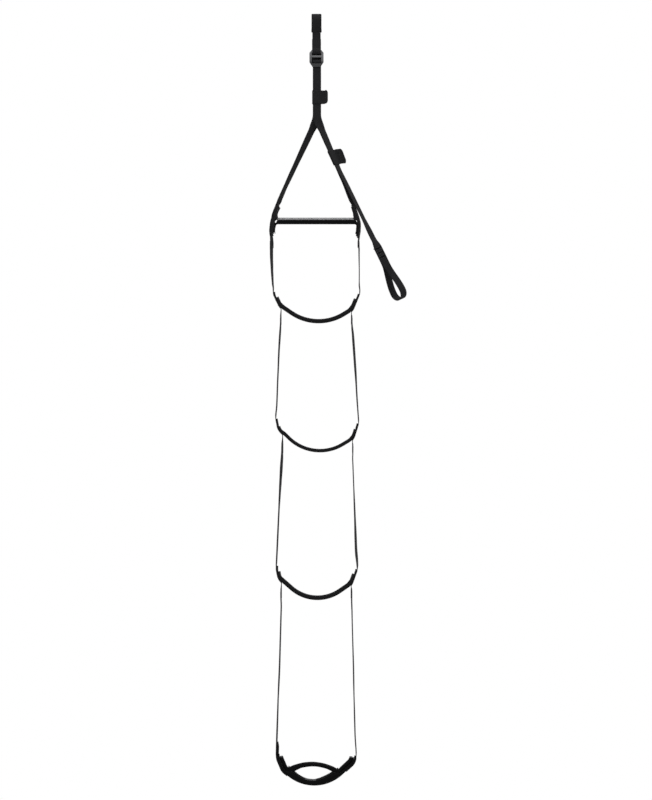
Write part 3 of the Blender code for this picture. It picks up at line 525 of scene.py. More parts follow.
def tail_strap_route():
    """The tail below the keepers: down, round its hand loop and back to the sewn stub."""
    radius = hand_loop_width / 2
    round_start = hand_loop_end - radius
    flare = round_start - hand_loop_open
    front = hand_loop_shift + radius
    rear = hand_loop_shift - radius
    sewn = [sewn_loop_start + (hand_loop_open - sewn_loop_start) * share for share in shares(12)]
    outline = [(tail_start_length + (sewn_loop_start - tail_start_length) * share, 0)
               for share in shares(24)[:-1]]
    outline += [(along, 0) for along in sewn]
    outline += [(hand_loop_open + flare * share, front * ease(share)) for share in shares(28)[1:]]
    outline += arc(round_start, hand_loop_shift, radius, 90, -90, 32)[1:]
    outline += [(round_start - flare * share, rear - (rear + pitch) * ease(share))
                for share in shares(28)[1:]]
    outline += [(along, -pitch) for along in sewn[-2:0:-1]]
    outline.append((sewn_loop_start, -pitch - sewn_loop_flare))
    points = [tail_place(along, off, loop_twist(along)) + loop_lead(along) for along, off in outline]
    return points, [face_across(tail_down, loop_twist(along)) for along, off in outline]


def keeper_section(depth, tab_turn, tab_length):
    """Closed middle line of a keeper's wall: round the straps, then out and back as a folded tab."""
    side = webbing_width / 2 + seat_gap + keeper_wall / 2
    through = depth / 2 + keeper_wall / 2
    ply = keeper_wall / 2 + seat_gap / 2
    corner = keeper_wall / 2
    out = Vector((math.cos(tab_turn), -math.sin(tab_turn)))
    off = Vector((math.sin(tab_turn), math.cos(tab_turn)))
    root = Vector((side + 3 * keeper_wall, 0))
    tip = root + out * tab_length
    start = root + out * keeper_tab_root
    ring = [root - off * ply * 3, start - off * ply, tip - off * ply, tip + out * ply, tip + off * ply,
            start + off * ply, root + off * ply * 2]
    for x, y in ((side, through - corner), (side - corner, through), (corner - side, through),
                 (-side, through - corner), (-side, corner - through), (corner - side, -through),
                 (side - corner, -through), (side, corner - through)):
        ring.append(Vector((x, y)))
    return ring, (2, 3, 4), out


def cradle_tab(side, under):
    """Points up a tab, inside its patch, and the corner where it meets the level of the cup."""
    off = half_web + seat_gap + patch_depths[side][-2][1] + seat_gap + half_web
    leg = beside(leg_points[side], leg_widths[side], [-side * off] * len(leg_points[side]))
    line = [point for point in leg if bar_level - cradle_tab_fall <= point.z <= under - cradle_corner_radius]
    climb = (line[0] - line[1]).normalized()
    return line[::-1], line[0] + climb * (under - line[0].z) / climb.z


def cradle_rings():
    """Webbing cupped under the bar; its ends flatten, turn down and lie inside the patches."""
    cup_radius = bar_diameter / 2 + seat_gap + half_web
    under = bar_level - cup_radius
    left, left_corner = cradle_tab(-1, under)
    right, right_corner = cradle_tab(1, under)
    turned = rounded_route([left[-1], left_corner, right_corner, right[-1]], (cradle_corner_radius,) * 2)
    route = left + turned[1:-1] + right[::-1]
    rings = []
    for point, tangent in zip(route, directions(route)):
        level = ease((bar_length / 2 + 0.005 - abs(point.x)) / cup_radius)
        doubled = cradle_doubling * ease((bar_length / 2 + 0.007 - abs(point.x)) / 0.006)
        inward = BACK.cross(tangent) * -1
        ring = []
        for spread, lift in section(cradle_width, webbing_thickness + doubled, 12):
            lift -= doubled / 2
            if level < 0.001:
                ring.append(point + BACK * spread + inward * lift)
                continue
            radius = cup_radius / level
            turn = spread / radius
            ring.append(point + BACK * math.sin(turn) * (radius - lift)
                        + inward * (radius - math.cos(turn) * (radius - lift)))
        rings.append(ring)
    return rings


class Stage:
    """One set of rails with its step: the places that its pieces share."""

    def __init__(self, number, top, above, fold):
        fall, shift, radius, curves, *ends, self.height = stage_sizes[number - 1]
        self.ends, self.tread_ends, self.leaves = ends
        self.number = number
        self.body = f"stage_{number}"
        self.last = number == len(stage_sizes)
        self.bottom = flat(shift, top - fall)
        self.above = above
        self.fold = fold
        self.curves = []
        self.stations = [0.0]
        for side, (turn, straight, end_turn, end_straight, last_turn) in zip(SIDE_WORDS, curves):
            runs = [(radius * math.radians(turn), radius), (straight, 0)]
            runs += [(end_bend_radius * math.radians(end_turn), end_bend_radius), (end_straight, 0)]
            runs += [(end_bend_radius * math.radians(last_turn), end_bend_radius)]
            self.curves.append(runs)
            length = 0.0
            for run, bend in runs:
                pieces = max(1, math.ceil(run / (bend * fine_arc)) if bend else round(run / fine_spacing))
                self.stations += [side * (length + run * share) for share in shares(pieces)[1:]]
                length += run
        self.stations.sort()
        self.stubs = [self.at(side * leave, pitch) for side, leave in zip(SIDE_WORDS, self.leaves)]
        self.next_fold = min(stub.z for stub in self.stubs) - step_fold_clearance

    def at(self, length, outward=0.0):
        """A point outside the strap's middle line; lengths run from its lowest point, left negative."""
        rest = abs(length)
        x, z, heading = 0.0, 0.0, 0.0
        for run, radius in self.curves[length >= 0]:
            step = min(rest, run)
            rest -= step
            if radius:
                x += radius * (math.sin(heading + step / radius) - math.sin(heading))
                z += radius * (math.cos(heading) - math.cos(heading + step / radius))
                heading += step / radius
            else:
                x += step * math.cos(heading)
                z += step * math.sin(heading)
        x += rest * math.cos(heading) + outward * math.sin(heading)
        z += rest * math.sin(heading) - outward * math.cos(heading)
        return self.bottom + flat(-x if length < 0 else x, z)

    def lengths(self, start, end):
        """The lengths at which a layer between two ends has its corners."""
        low, high = min(start, end), max(start, end)
        found = [low] + [s for s in self.stations if low + station_room < s < high - station_room] + [high]
        return found if start < end else found[::-1]

    def kink(self, side):
        """Where the rail bends in to its step."""
        return self.at(side * (self.ends[side > 0] + kink_lead), pitch)

    def hug(self, side):
        """The rail's run along the outer face of the step."""
        ends = side * self.ends[side > 0], side * self.leaves[side > 0]
        return [self.at(length, pitch) for length in self.lengths(*ends)]

    def tread_height(self, length):
        """Treads thin towards their ends; the bottom one follows its own heights."""
        end = self.tread_ends[length > 0]
        if self.last:
            return station_value(foot_heights[-1 if length < 0 else 1], abs(length) / end)
        full = ease((end - abs(length)) / tread_end_reach)
        return self.height * (tread_end_share + (1 - tread_end_share) * full)


def rail_route(stage, side):
    """From the lap above the fold down to the step, along it and on to the next fold."""
    top_x = stage.above[side > 0] + side * pitch
    hug = stage.hug(side)
    corners = [flat(top_x, stage.fold + lap_half), flat(top_x, stage.fold - lap_straight),
               stage.kink(side), hug[0]]
    route = rounded_route(corners, (shoulder_round, kink_round)) + hug[1:]
    if stage.last:
        return route
    turn = [route[-2], route[-1], flat(route[-1].x, stage.next_fold - lap_half)]
    return route[:-2] + rounded_route(turn, (leave_round,))


def arch_route(stage):
    """The upper band: its ends lie on the foot sleeve and its middle bows up."""
    inner = -half_web - 2 * seat_gap - stage.height - arch_height / 2
    reach = [join + arch_corner_round for join in arch_joins]
    left = [stage.at(length, inner) for length in stage.lengths(-arch_ends[0], -reach[0])]
    right = [stage.at(length, inner) for length in stage.lengths(reach[1], arch_ends[1])]
    start, end = stage.at(-arch_joins[0], inner), stage.at(arch_joins[1], inner)
    span = end - start
    bulge = Vector((-span.z, 0, span.x)).normalized() * arch_rise
    bow = [start + span * share + bulge * 4 * share * (1 - share) for share in shares(48)[1:-1]]
    return (left[:-1] + rounded_route([left[-1], start, bow[0]], (arch_corner_round,)) + bow[1:-1]
            + rounded_route([bow[-1], end, right[0]], (arch_corner_round,)) + right[1:])


stages = []
top = bar_level + half_web
above = [side * (bar_length / 2 + rail_reach[side]) for side in SIDE_WORDS]
fold = first_fold
for number in range(1, len(stage_sizes) + 1):
    stages.append(Stage(number, top, above, fold))
    top = stages[-1].bottom.z
    above = [stub.x for stub in stages[-1].stubs]
    fold = stages[-1].next_fold


def section(width, thickness, faces=4, arcs=4):
    """Closed outline (across, through) of webbing with round selvedges."""
    r = thickness / 2
    flat_half = width / 2 - r
    corners = []
    for side in (1, -1):
        corners += [(side * x, side * y) for x, y in arc(flat_half, 0, r, -90, 90, arcs)]
        corners += [(side * flat_half * (1 - 2 * share), side * r) for share in shares(faces)[1:-1]]
    return corners


def mesh_piece(name, corners, faces, uvs, finish, smooth=50):
    mesh = bpy.data.meshes.new(name)
    mesh.from_pydata(corners, [], faces)
    layer = mesh.uv_layers.new(name="UVMap")
    layer.data.foreach_set("uv", [value for face in uvs for uv in face for value in uv])
    shape = bmesh.new()
    shape.from_mesh(mesh)
    bmesh.ops.recalc_face_normals(shape, faces=shape.faces)
    shape.to_mesh(mesh)
    shape.free()
    mesh.materials.append(finish)
    mesh.shade_smooth()
    mesh.set_sharp_from_angle(angle=math.radians(smooth))
    made = bpy.data.objects.new(name, mesh)
    scene.collection.objects.link(made)
    return made


def skin(rings, closed=False, first=0):
    """Faces and UVs (metres round the ring, metres along the rings) of rings of equal length."""
    count, size = len(rings), len(rings[0])
    run, around = [0.0], [0.0]
    for before, after in zip(rings, rings[1:] + rings[:1]):
        run.append(run[-1] + (after[0] - before[0]).length)
    middle = rings[count // 2]
    for before, after in zip(middle, middle[1:] + middle[:1]):
        around.append(around[-1] + (after - before).length)
    faces, uvs = [], []
    for i in range(count if closed else count - 1):
        here, there = first + i * size, first + (i + 1) % count * size
        for k in range(size):
            m = (k + 1) % size
            faces.append([here + k, here + m, there + m, there + k])
            uvs.append([(around[k], run[i]), (around[k + 1], run[i]), (around[k + 1], run[i + 1]),
                        (around[k], run[i + 1])])
    if not closed:
        for i in (0, count - 1):
            faces.append([first + i * size + k for k in range(size)])
            uvs.append([(around[k], run[i] + (rings[i][k] - rings[i][0]).length * 0.1) for k in range(size)])
    return faces, uvs


def ring_piece(name, rings, finish, closed=False):
    faces, uvs = skin(rings, closed)
    return mesh_piece(name, [p for ring in rings for p in ring], faces, uvs, finish)


def ribbon(name, points, across, finish, thickness=webbing_thickness, width=webbing_width, closed=False,
           seed=0.0):
    """Flat webbing along a route, its width a touch uneven as woven tape is."""
    normals = through_directions(points, across, closed)
    rings = []
    for i, (point, a, n) in enumerate(zip(points, across, normals)):
        grow = 1 + 0.012 * noise.noise(Vector((i * 0.09, seed, 7.7)))
        depth = thickness[i] if isinstance(thickness, list) else thickness
        rings.append([point + a * x * grow + n * y for x, y in section(width, depth)])
    return ring_piece(name, rings, finish, closed)


def sleeve(name, points, across, widths, heights, wall, finish, swell):
    """A folded tube open at both ends; sizes are those of the middle of its wall."""
    normals = through_directions(points, across)
    outer, inner = [], []
    for i, (point, a, n, w, h) in enumerate(zip(points, across, normals, widths, heights)):
        wave = swell * noise.noise(Vector((i * 0.21, w * 90, 1.3)))
        shut = 0.35 * wall if i in (0, len(points) - 1) else 0
        for target, grow in ((outer, wall - shut), (inner, -wall)):
            target.append([point + a * x + n * (y + wave * max(0, y / h))
                           for x, y in section(w + grow, h + grow, 8, 6)])
    return ring_piece(name, outer + inner[::-1], finish, True)


class Surface:
    """One face of a ribbon: sewing goes on it by length along and distance across."""

    def __init__(self, points, across, off, side=1):
        self.normals = [n * side for n in through_directions(points, across)]
        self.points = [p + n * off for p, n in zip(points, self.normals)]
        self.across = across
        self.run = [0.0]
        for before, after in zip(points, points[1:]):
            self.run.append(self.run[-1] + (after - before).length)
        self.length = self.run[-1]

    def put(self, length, x, lift):
        """The place at a length and a distance across, lifted by a share of the thread's radius."""
        length = min(max(length, 0), self.length)
        i = next(i for i, high in enumerate(self.run[1:]) if length <= high)
        share = (length - self.run[i]) / max(self.run[i + 1] - self.run[i], 1e-9)
        place, a, n = (values[i].lerp(values[i + 1], share)
                       for values in (self.points, self.across, self.normals))
        return place + a * x + n * (lift * thread_radius)

    def bartack(self, middle, length, width, rows):
        """A zigzag with a cord at each end."""
        zigzag = [self.put(middle + length * (share - 0.5), width / 2 * (1 if i % 2 else -1), 0.3)
                  for i, share in enumerate(shares(2 * rows))]
        return [zigzag] + [[self.put(middle + s * length / 2 * 0.92, x * width / 2, 0.75)
                            for x in (-1, 0, 1)] for s in (-1, 1)]

    def dashes(self, spans):
        """Each stitch (length, x, length, x) dips into the cloth at both ends."""
        return [[self.put(s0 + (s1 - s0) * f, x0 + (x1 - x0) * f, lift)
                 for f, lift in ((0, -1), (0.2, 0.5), (0.8, 0.5), (1, -1))] for s0, x0, s1, x1 in spans]

    def cross_rows(self, middle, width):
        """Two rows of seven stitches across."""
        return self.dashes([(at, width * (i / 7 - 0.5), at, width * ((i + 0.72) / 7 - 0.5))
                            for at in (middle - row_half_gap, middle + row_half_gap) for i in range(7)])

    def edge_seams(self, width):
        """A line of stitches along each edge."""
        span = self.length - 2 * seam_margin
        count = max(1, int(span / stitch_length))
        step = span / count
        edge = width / 2 - edge_margin
        return self.dashes([(seam_margin + step * i, x, seam_margin + step * (i + 0.74), x)
                            for x in (-edge, edge) for i in range(count)])


class Graph:
    """A node tree; inputs are given by name or place, as values or as sockets to link."""

    def __init__(self, tree):
        self.tree = tree

    def feed(self, node, inputs):
        for key, value in inputs.items():
            if isinstance(value, bpy.types.NodeSocket):
                self.tree.links.new(value, node.inputs[key])
            else:
                node.inputs[key].default_value = value

    def node(self, kind, inputs={}, **settings):
        made = self.tree.nodes.new("ShaderNode" + kind)
        for key, value in settings.items():
            setattr(made, key, value)
        self.feed(made, inputs)
        return made

    def math(self, operation, a, b=0.0, clamp=False):
        return self.node("Math", {0: a, 1: b}, operation=operation, use_clamp=clamp).outputs[0]

    def total(self, *terms):
        """Sum of (value, weight) pairs."""
        parts = [self.math("MULTIPLY", value, weight) for value, weight in terms]
        while len(parts) > 1:
            parts[:2] = [self.math("ADD", parts[0], parts[1])]
        return parts[0]

    def noise(self, vector, scale, detail, stretch=None):
        if stretch:
            vector = self.node("Mapping", {"Vector": vector, "Scale": stretch}).outputs[0]
        return self.node("TexNoise", {"Vector": vector, "Scale": scale, "Detail": detail}).outputs["Fac"]

    def wave(self, value, length):
        return self.math("SINE", self.math("MULTIPLY", value, math.tau / length))

    def ramp(self, factor, *stops):
        """Colour by factor, from stops of (place, colour)."""
        made = self.node("ValToRGB", {"Fac": factor})
        elements = made.color_ramp.elements
        for element, (place, colour) in zip(elements, (stops[0], stops[-1])):
            element.position, element.color = place, (*colour, 1)
        for place, colour in stops[1:-1]:
            elements.new(place).color = (*colour, 1)
        return made.outputs["Color"]

    def spread(self, value, low, high):
        return self.node("MapRange", {"Value": value, "To Min": low, "To Max": high}).outputs[0]

    def bump(self, height, distance, strength, under=None):
        inputs = {"Distance": distance, "Strength": strength, "Height": height}
        if under:
            inputs["Normal"] = under
        return self.node("Bump", inputs).outputs[0]

    def split(self, vector):
        return self.node("SeparateXYZ", {0: vector}).outputs

    def seen(self):
        """1 where the camera looks, straight or by a mirror or glass."""
        path = self.node("LightPath").outputs
        return self.math("MAXIMUM", path["Is Camera Ray"],
                         self.math("MAXIMUM", path["Is Glossy Ray"], path["Is Transmission Ray"]))


def new_material(name):
    made = bpy.data.materials.new(name)
    made.use_nodes = True
    g = Graph(made.node_tree)
    place = g.node("TexCoord").outputs
    return made, g, made.node_tree.nodes["Principled BSDF"], place["UV"], place["Object"]


def woven(name, dark, light, yarn, stripe, roughness, specular, sheen, depth=0.00022):
    """Webbing: yarns slanting to and fro in stripes along its length, worn a little paler on the ridges."""
    made, g, shader, uv, place = new_material(name)
    u, v = g.split(uv)[:2]
    slant = g.math("ADD", v, g.math("MULTIPLY", g.math("PINGPONG", u, stripe), 0.9))
    fibre = g.noise(uv, 1.0, 2.0, (9000, 1600, 1))
    ridge = g.total((g.wave(slant, yarn), 0.32), (g.wave(u, yarn * 1.25), 0.18), (fibre, 0.25))
    height = g.math("ADD", ridge, 0.5)
    patches = g.noise(place, 14.0, 4.0)
    wear = g.total((height, 0.45), (patches, 0.45), (g.noise(place, 260.0, 3.0), 0.14))
    g.feed(shader, {"Base Color": g.ramp(wear, (0.25, dark), (0.8, light)),
                    "Roughness": g.spread(patches, roughness - 0.07, roughness + 0.08),
                    "Specular IOR Level": specular, "Sheen Weight": sheen, "Sheen Roughness": 0.45,
                    "Sheen Tint": (0.5, 0.5, 0.52, 1),
                    "Normal": g.bump(height, depth, 0.9, g.bump(patches, 0.0009, 0.35))})
    return made


def coated(name, dark, light, roughness, specular, sheen, thread_pitch=0.0009, grid_pitch=0.005):
    """Sleeve cloth: a fine ripstop grid with soft creases."""
    made, g, shader, uv, place = new_material(name)
    u, v = g.split(uv)[:2]
    weave = g.math("MULTIPLY", g.wave(u, thread_pitch), g.wave(v, thread_pitch))
    grid = g.math("MAXIMUM", *(g.math("GREATER_THAN", g.wave(value, grid_pitch), 0.93) for value in (u, v)))
    height = g.total((weave, 0.25), (grid, 0.5))
    patches = g.noise(place, 22.0, 5.0)
    folds = g.bump(g.noise(place, 70.0, 2.0, (1, 1, 2.2)), 0.0012, 0.4)
    tone = g.total((patches, 0.8), (height, 0.22))
    g.feed(shader, {"Base Color": g.ramp(tone, (0.28, dark), (0.75, light)),
                    "Roughness": g.spread(patches, roughness - 0.1, roughness + 0.08),
                    "Specular IOR Level": specular, "Sheen Weight": sheen,
                    "Sheen Tint": (0.5, 0.5, 0.52, 1), "Normal": g.bump(height, 0.00012, 0.8, folds)})
    return made


def metal(name, dark, light, roughness, stretch, scuff, painted_shade=None):
    """Satin metal with fine drawn lines, a few scuffs and a slightly mottled anodised tone; an optional
    painted shade darkens it by height.
    """
    made, g, shader, uv, place = new_material(name)
    lines = g.noise(place, 1.0, 3.0, stretch)
    edges = g.node("TexVoronoi", {"Vector": place, "Scale": 95.0}, feature="DISTANCE_TO_EDGE")
    scratch = g.math("LESS_THAN", edges.outputs["Distance"], scuff)
    tone = g.total((lines, 0.5), (g.noise(place, 45.0, 4.0), 0.5), (scratch, 0.12))
    colour = g.ramp(tone, (0.3, dark), (0.72, light))
    # Painted shade: the colour is multiplied by greys that darken it from the high level down to the low
    # level.
    if painted_shade:
        low, high, stops = painted_shade
        share = g.math("DIVIDE", g.math("SUBTRACT", g.split(place)[2], low), high - low, True)
        greys = [(at, (grey,) * 3) for at, grey in stops]
        mixed = g.node("Mix", data_type="RGBA", blend_type="MULTIPLY")
        g.feed(mixed, {"Factor": 1, "A": colour, "B": g.ramp(share, *greys)})
        colour = mixed.outputs["Result"]
    g.feed(shader, {"Base Color": colour, "Roughness": g.spread(tone, roughness - 0.06, roughness + 0.1),
                    "Metallic": 1.0, "Normal": g.bump(lines, 0.00004, 0.5)})
    return made


def moulded(name, dark, light, roughness):
    """Moulded plastic with a fine spark-eroded grain."""
    made, g, shader, uv, place = new_material(name)
    grain = g.noise(place, 900.0, 2.0)
    g.feed(shader, {"Base Color": g.ramp(g.noise(place, 30.0, 3.0), (0.3, dark), (0.7, light)),
                    "Roughness": g.spread(grain, roughness - 0.08, roughness + 0.1),
                    "Specular IOR Level": 0.3, "Normal": g.bump(grain, 0.00005, 0.6)})
    return made


webbing = woven("webbing_weave", (0.0038, 0.0038, 0.0043), (0.0125, 0.0125, 0.0136), 0.0013, 0.0035,
                0.84, 0.11, 0.03)
rail_webbing = woven("rail_weave", (0.0050, 0.0050, 0.0056), (0.0135, 0.0135, 0.0145), 0.0011, 0.0026,
                     0.85, 0.12, 0.03)
tread_webbing = woven("tread_weave", (0.0028, 0.0028, 0.0032), (0.0085, 0.0085, 0.0092), 0.0010, 0.0020,
                      0.88, 0.09, 0.02)
foot_webbing = woven("foot_weave", (0.0012, 0.0012, 0.0014), (0.0042, 0.0042, 0.0046), 0.0010, 0.0020,
                     0.9, 0.05, 0.01)
sleeve_cloth = coated("sleeve_cloth", (0.0040, 0.0040, 0.0045), (0.0105, 0.0105, 0.0113), 0.80, 0.12, 0.02)
thread = woven("sewing_thread", (0.010, 0.010, 0.011), (0.030, 0.030, 0.032), 0.0006, 0.0004,
               0.6, 0.3, 0.05, 0.00006)
# Painted shade: the buckle's colour is darkened low down, where its lower bar faces away from the light: (low
# level, high level, greys between them)
buckle_painted_shade = (-0.120, -0.095, ((0, 0.30), (0.28, 0.34), (0.45, 0.66), (1, 0.95)))
frame_lines = (120, 120, 2600)
buckle_metal = metal("buckle_metal", (0.080, 0.081, 0.084), (0.150, 0.151, 0.156), 0.42, frame_lines, 0.008,
                     buckle_painted_shade)
bar_metal = metal("bar_metal", (0.105, 0.105, 0.108), (0.15, 0.15, 0.153), 0.44, (18, 900, 900), 0.0012)
# Painted shade: a far darker copy of the buckle's metal for the strips in the frame's grooves
groove_shade_metal = metal("groove_shade_metal", (0.006, 0.006, 0.0065), (0.012, 0.012, 0.0125), 0.6, frame_lines, 0.002)
plug_plastic = moulded("plug_plastic", (0.010, 0.010, 0.011), (0.022, 0.022, 0.023), 0.5)
strip_plastic = moulded("stiffener_plastic", (0.012, 0.012, 0.013), (0.028, 0.028, 0.030), 0.55)

for finish, nodes in ((buckle_metal, ("buckle_frame", "lock_bar")), (bar_metal, ("spreader_bar",)),
                      (plug_plastic, ("bar_plug_left", "bar_plug_right")),
                      (strip_plastic, ("tread_stiffener_1", "tread_stiffener_2", "tread_stiffener_3",
                                       "foot_stiffener", "arch_stiffener"))):
    for node in nodes:
        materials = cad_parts[node].data.materials
        for i in range(len(materials)):
            materials[i] = finish
        if not materials:
            materials.append(finish)


def finish_piece(made, body, node=None):
    """A piece rides on one body; for a zone of (upper body, lower body, start, end) it only has its transform
    applied.
    """
    if node:
        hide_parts(node)
    if isinstance(body, str):
        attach(made, body)
    else:
        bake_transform(made)


def fold_zone(upper, lower, level):
    return (upper, lower, (0, 0, level + fold_reach), (0, 0, level - fold_reach))


def web(name, points, across, body, node, finish=webbing, **sizes):
    if isinstance(across, Vector):
        across = [across] * len(points)
    finish_piece(ribbon(name, points, across, finish, **sizes), body, node)


def threads(name, lines, body):
    """Sewing thread along each polyline."""
    corners, faces, uvs = [], [], []
    circle = [(math.cos(k * math.tau / 5), math.sin(k * math.tau / 5)) for k in range(5)]
    for line in lines:
        rings = []
        for point, t in zip(line, directions(line)):
            a = t.orthogonal().normalized()
            b = t.cross(a)
            rings.append([point + (a * x + b * y) * thread_radius for x, y in circle])
        more, more_uvs = skin(rings, False, len(corners))
        faces += more
        uvs += more_uvs
        corners += [p for ring in rings for p in ring]
    finish_piece(mesh_piece(name, corners, faces, uvs, thread, 80), body)


def flap_line():
    """The loop's sewn end hangs behind the buckle and darkens its windows."""
    near, drawn, lifted, far = flap_offs
    top, bend, straight, end = flap_levels
    line = [(near + (drawn - near) * share, top + (bend - top) * share) for share in shares(10)[:-1]]
    line += [(lifted + (far - lifted) * ease(share), bend + (straight - bend) * share)
             for share in shares(16)]
    line += [(far, straight + (end - straight) * share) for share in shares(25)[1:]]
    return [Vector((0, y, z)) for y, z in line]


def clip_in_pieces():
    """The loop, its wear sleeve, its sewn end and their sewing."""
    route = clip_loop_route()
    web("web_clip_in_strap", route, RIGHT, "clip_in", "clip_in_strap", closed=True)
    sleeve_end = crown_level - webbing_thickness - sleeve_length
    count = sum(1 for point in route[:len(route) // 2] if point.z > sleeve_end)
    covered = route[-count + 1:] + route[:count]
    across = [RIGHT] * len(covered)
    last = len(covered) - 1
    flare = [sleeve_flare * (1 - ease(min(i, last - i) / 5))
             + sleeve_unevenness * noise.noise(Vector((i * 0.3, 0, 5))) for i in range(last + 1)]
    widths = [sleeve_inner_width + sleeve_wall + f for f in flare]
    heights = [sleeve_inner_height + sleeve_wall + f * 0.4 for f in flare]
    cloth = sleeve("cloth_clip_in_sleeve", covered, across, widths, heights, sleeve_wall, sleeve_cloth,
                   0.0004)
    finish_piece(cloth, "clip_in", "clip_in_sleeve")
    web("web_clip_in_end", flap_line(), RIGHT, flap_zone, "clip_in_strap", thickness=flap_thickness,
        width=flap_width)
    face = Surface(covered, across, (sleeve_inner_height + 2 * sleeve_wall) / 2, -1)
    starts = [sleeve_stitch_start + sleeve_stitch_step * i for i in range(8)]
    sewing = []
    for at in (*sleeve_rows, *(face.length - row for row in sleeve_rows)):
        sewing += face.dashes([(at, x, at, x + sleeve_stitch) for x in starts])
    for side in SIDE_WORDS:
        ply = [p for p in route if p.y * side > 0 and loop_sewn_end < p.z < loop_sewn_top]
        ply.sort(key=lambda p: -p.z)
        face = Surface(ply, [RIGHT] * len(ply), half_web, side)
        for at in loop_tack_places:
            sewing += face.bartack(at, *loop_tack)
    threads("thread_clip_in", sewing, "clip_in")


def buckle_pieces():
    """Dark strips of painted shade at the grooves' walls, the webbing round the lock bar and the load strap.
    """
    for side, word in SIDE_WORDS.items():
        middle, width = groove_shade_strips[side]
        levels = [buckle_top - groove_wall_margin - groove_wall_step * i for i in range(11)]
        wall = [Vector((middle, groove_wall_y, level)) for level in levels]
        # Painted shade: each strip stands for the shade on a groove's wall
        made = ribbon(f"painted_shade_groove_{word}", wall, [RIGHT] * len(wall), groove_shade_metal,
                      groove_wall_thickness, width)
        finish_piece(made, "buckle")
    wrap = [Vector((strap_line_x, y, z)) for y, z in lock_wrap_outline()]
    web("web_lock_wrap", wrap, RIGHT, "lock", "lock_wrap")
    levels = [load_start + (load_end - load_start) * share for share in shares(40)]
    load = [Vector((strap_line_x, load_ply_y, level)) for level in levels]
    web("web_load_strap", load, RIGHT, load_zone, "load_strap")


def tail_pieces():
    """The free ply, the tail with its hand loop and the sewing at the loop's start."""
    route, across = tail_upper_route()
    cut = next(i for i, point in enumerate(route) if point.z < tail_stretch_level)
    web("web_tail_upper", route[:cut + 1], across[:cut + 1], load_zone, "tail_upper")
    stretch_zone = ("ladder_head", "tail", route[cut], route[-1])
    web("web_tail_lower", route[cut:], across[cut:], stretch_zone, "tail_upper")
    points, widths = tail_strap_route()
    web("web_tail_strap", points, widths, "tail", "tail_strap")
    points, widths = points[sewn_loop_span], widths[sewn_loop_span]
    rear = beside(points, widths, [-pitch] * len(points))
    sewing = []
    for face in (Surface(points, widths, half_web, 1), Surface(rear, widths, half_web, -1)):
        for at in tail_tacks:
            sewing += face.bartack(face.length * at, *strap_tack)
    threads("thread_tail", sewing, "tail")


def keeper_sewing(places, out, tab_turn, tab_rise):
    """The tab's two faces are sewn together near its root."""
    sewing = []
    for sign in (-1, 1):
        for reach in keeper_stitch_rows:
            line = []
            for point, a, t, through in places[2:-2]:
                aside = webbing_width / 2 + seat_gap + keeper_wall * 3.5 + out.x * reach
                face = (a * math.sin(tab_turn) + through * math.cos(tab_turn)) * sign
                line.append(point - t * tab_rise * 0.6 + a * aside + through * (out.y * reach)
                            + face * (keeper_wall * 1.5 + seat_gap / 2))
            sewing += [[line[i], line[i].lerp(line[i + 1], 0.8)] for i in range(0, len(line) - 1, 2)]
    return sewing


def keeper_piece(node, points, across, depth, tab_turn, tab_length, tab_rise):
    """A keeper's folded cloth with its tab and sewing."""
    ring, tab, out = keeper_section(depth, tab_turn, tab_length)
    body = "_".join(reversed(node.split("_")))
    places = [(p, a, t, a.cross(t).normalized()) for p, a, t in zip(points, across, directions(points))]
    rows = []
    for row, (centre, a, t, through) in enumerate(places):
        pull = keeper_tab_round * station_value(keeper_pull_stations, row / keeper_rows)
        loop = []
        for column, (x, y) in enumerate(ring):
            base = centre
            if column in tab:
                base = base - t * tab_rise
                x -= out.x * pull
                y -= out.y * pull
            loop.append(base + a * x + through * y)
        for turn in range(2):
            loop = [p.lerp(q, cut) for p, q in zip(loop, loop[1:] + loop[:1]) for cut in keeper_corner_cuts]
        rows.append(loop)
    faces, uvs = skin(rows)
    corners = [p for loop in rows for p in loop]
    made = mesh_piece("cloth_" + node, corners, faces[:-2], uvs[:-2], sleeve_cloth, 60)
    solid = made.modifiers.new("thickness", "SOLIDIFY")
    solid.thickness = keeper_wall
    solid.offset = 0
    solid.use_even_offset = False
    finish_piece(made, body, node)
    threads("thread_" + node, keeper_sewing(places, out, tab_turn, tab_rise), body)


def keepers():
    """The upper keeper holds four plies of the head strap, the lower one the right leg and the tail."""
    front, rear = tail_ply_y - half_web, ply_y[-1] + half_web
    middle = Vector((strap_line_x, (front + rear) / 2, -upper_keeper_drop - upper_keeper_height / 2))
    levels = [share - 0.5 for share in shares(keeper_rows)]
    points = [middle - UP * level * upper_keeper_height for level in levels]
    keeper_piece("keeper_upper", points, [RIGHT] * len(points), rear - front + 2 * keeper_slack, 0,
                 upper_keeper_tab, upper_keeper_tab_rise)
    leg, widths = leg_points[1], leg_widths[1]
    line = beside(leg, widths, [pitch / 2] * len(leg))
    points, across = [], []
    for level in levels:
        drop = lower_keeper_drop + level * lower_keeper_height
        i = max(k for k, point in enumerate(line) if point.z >= -drop)
        share = (-drop - line[i].z) / (line[i + 1].z - line[i].z)
        points.append(line[i].lerp(line[i + 1], share))
        across.append(widths[i].lerp(widths[i + 1], share))
    keeper_piece("keeper_lower", points, across, pitch + webbing_thickness + 2 * keeper_slack,
                 lower_keeper_tab_turn, lower_keeper_tab, lower_keeper_tab_rise)


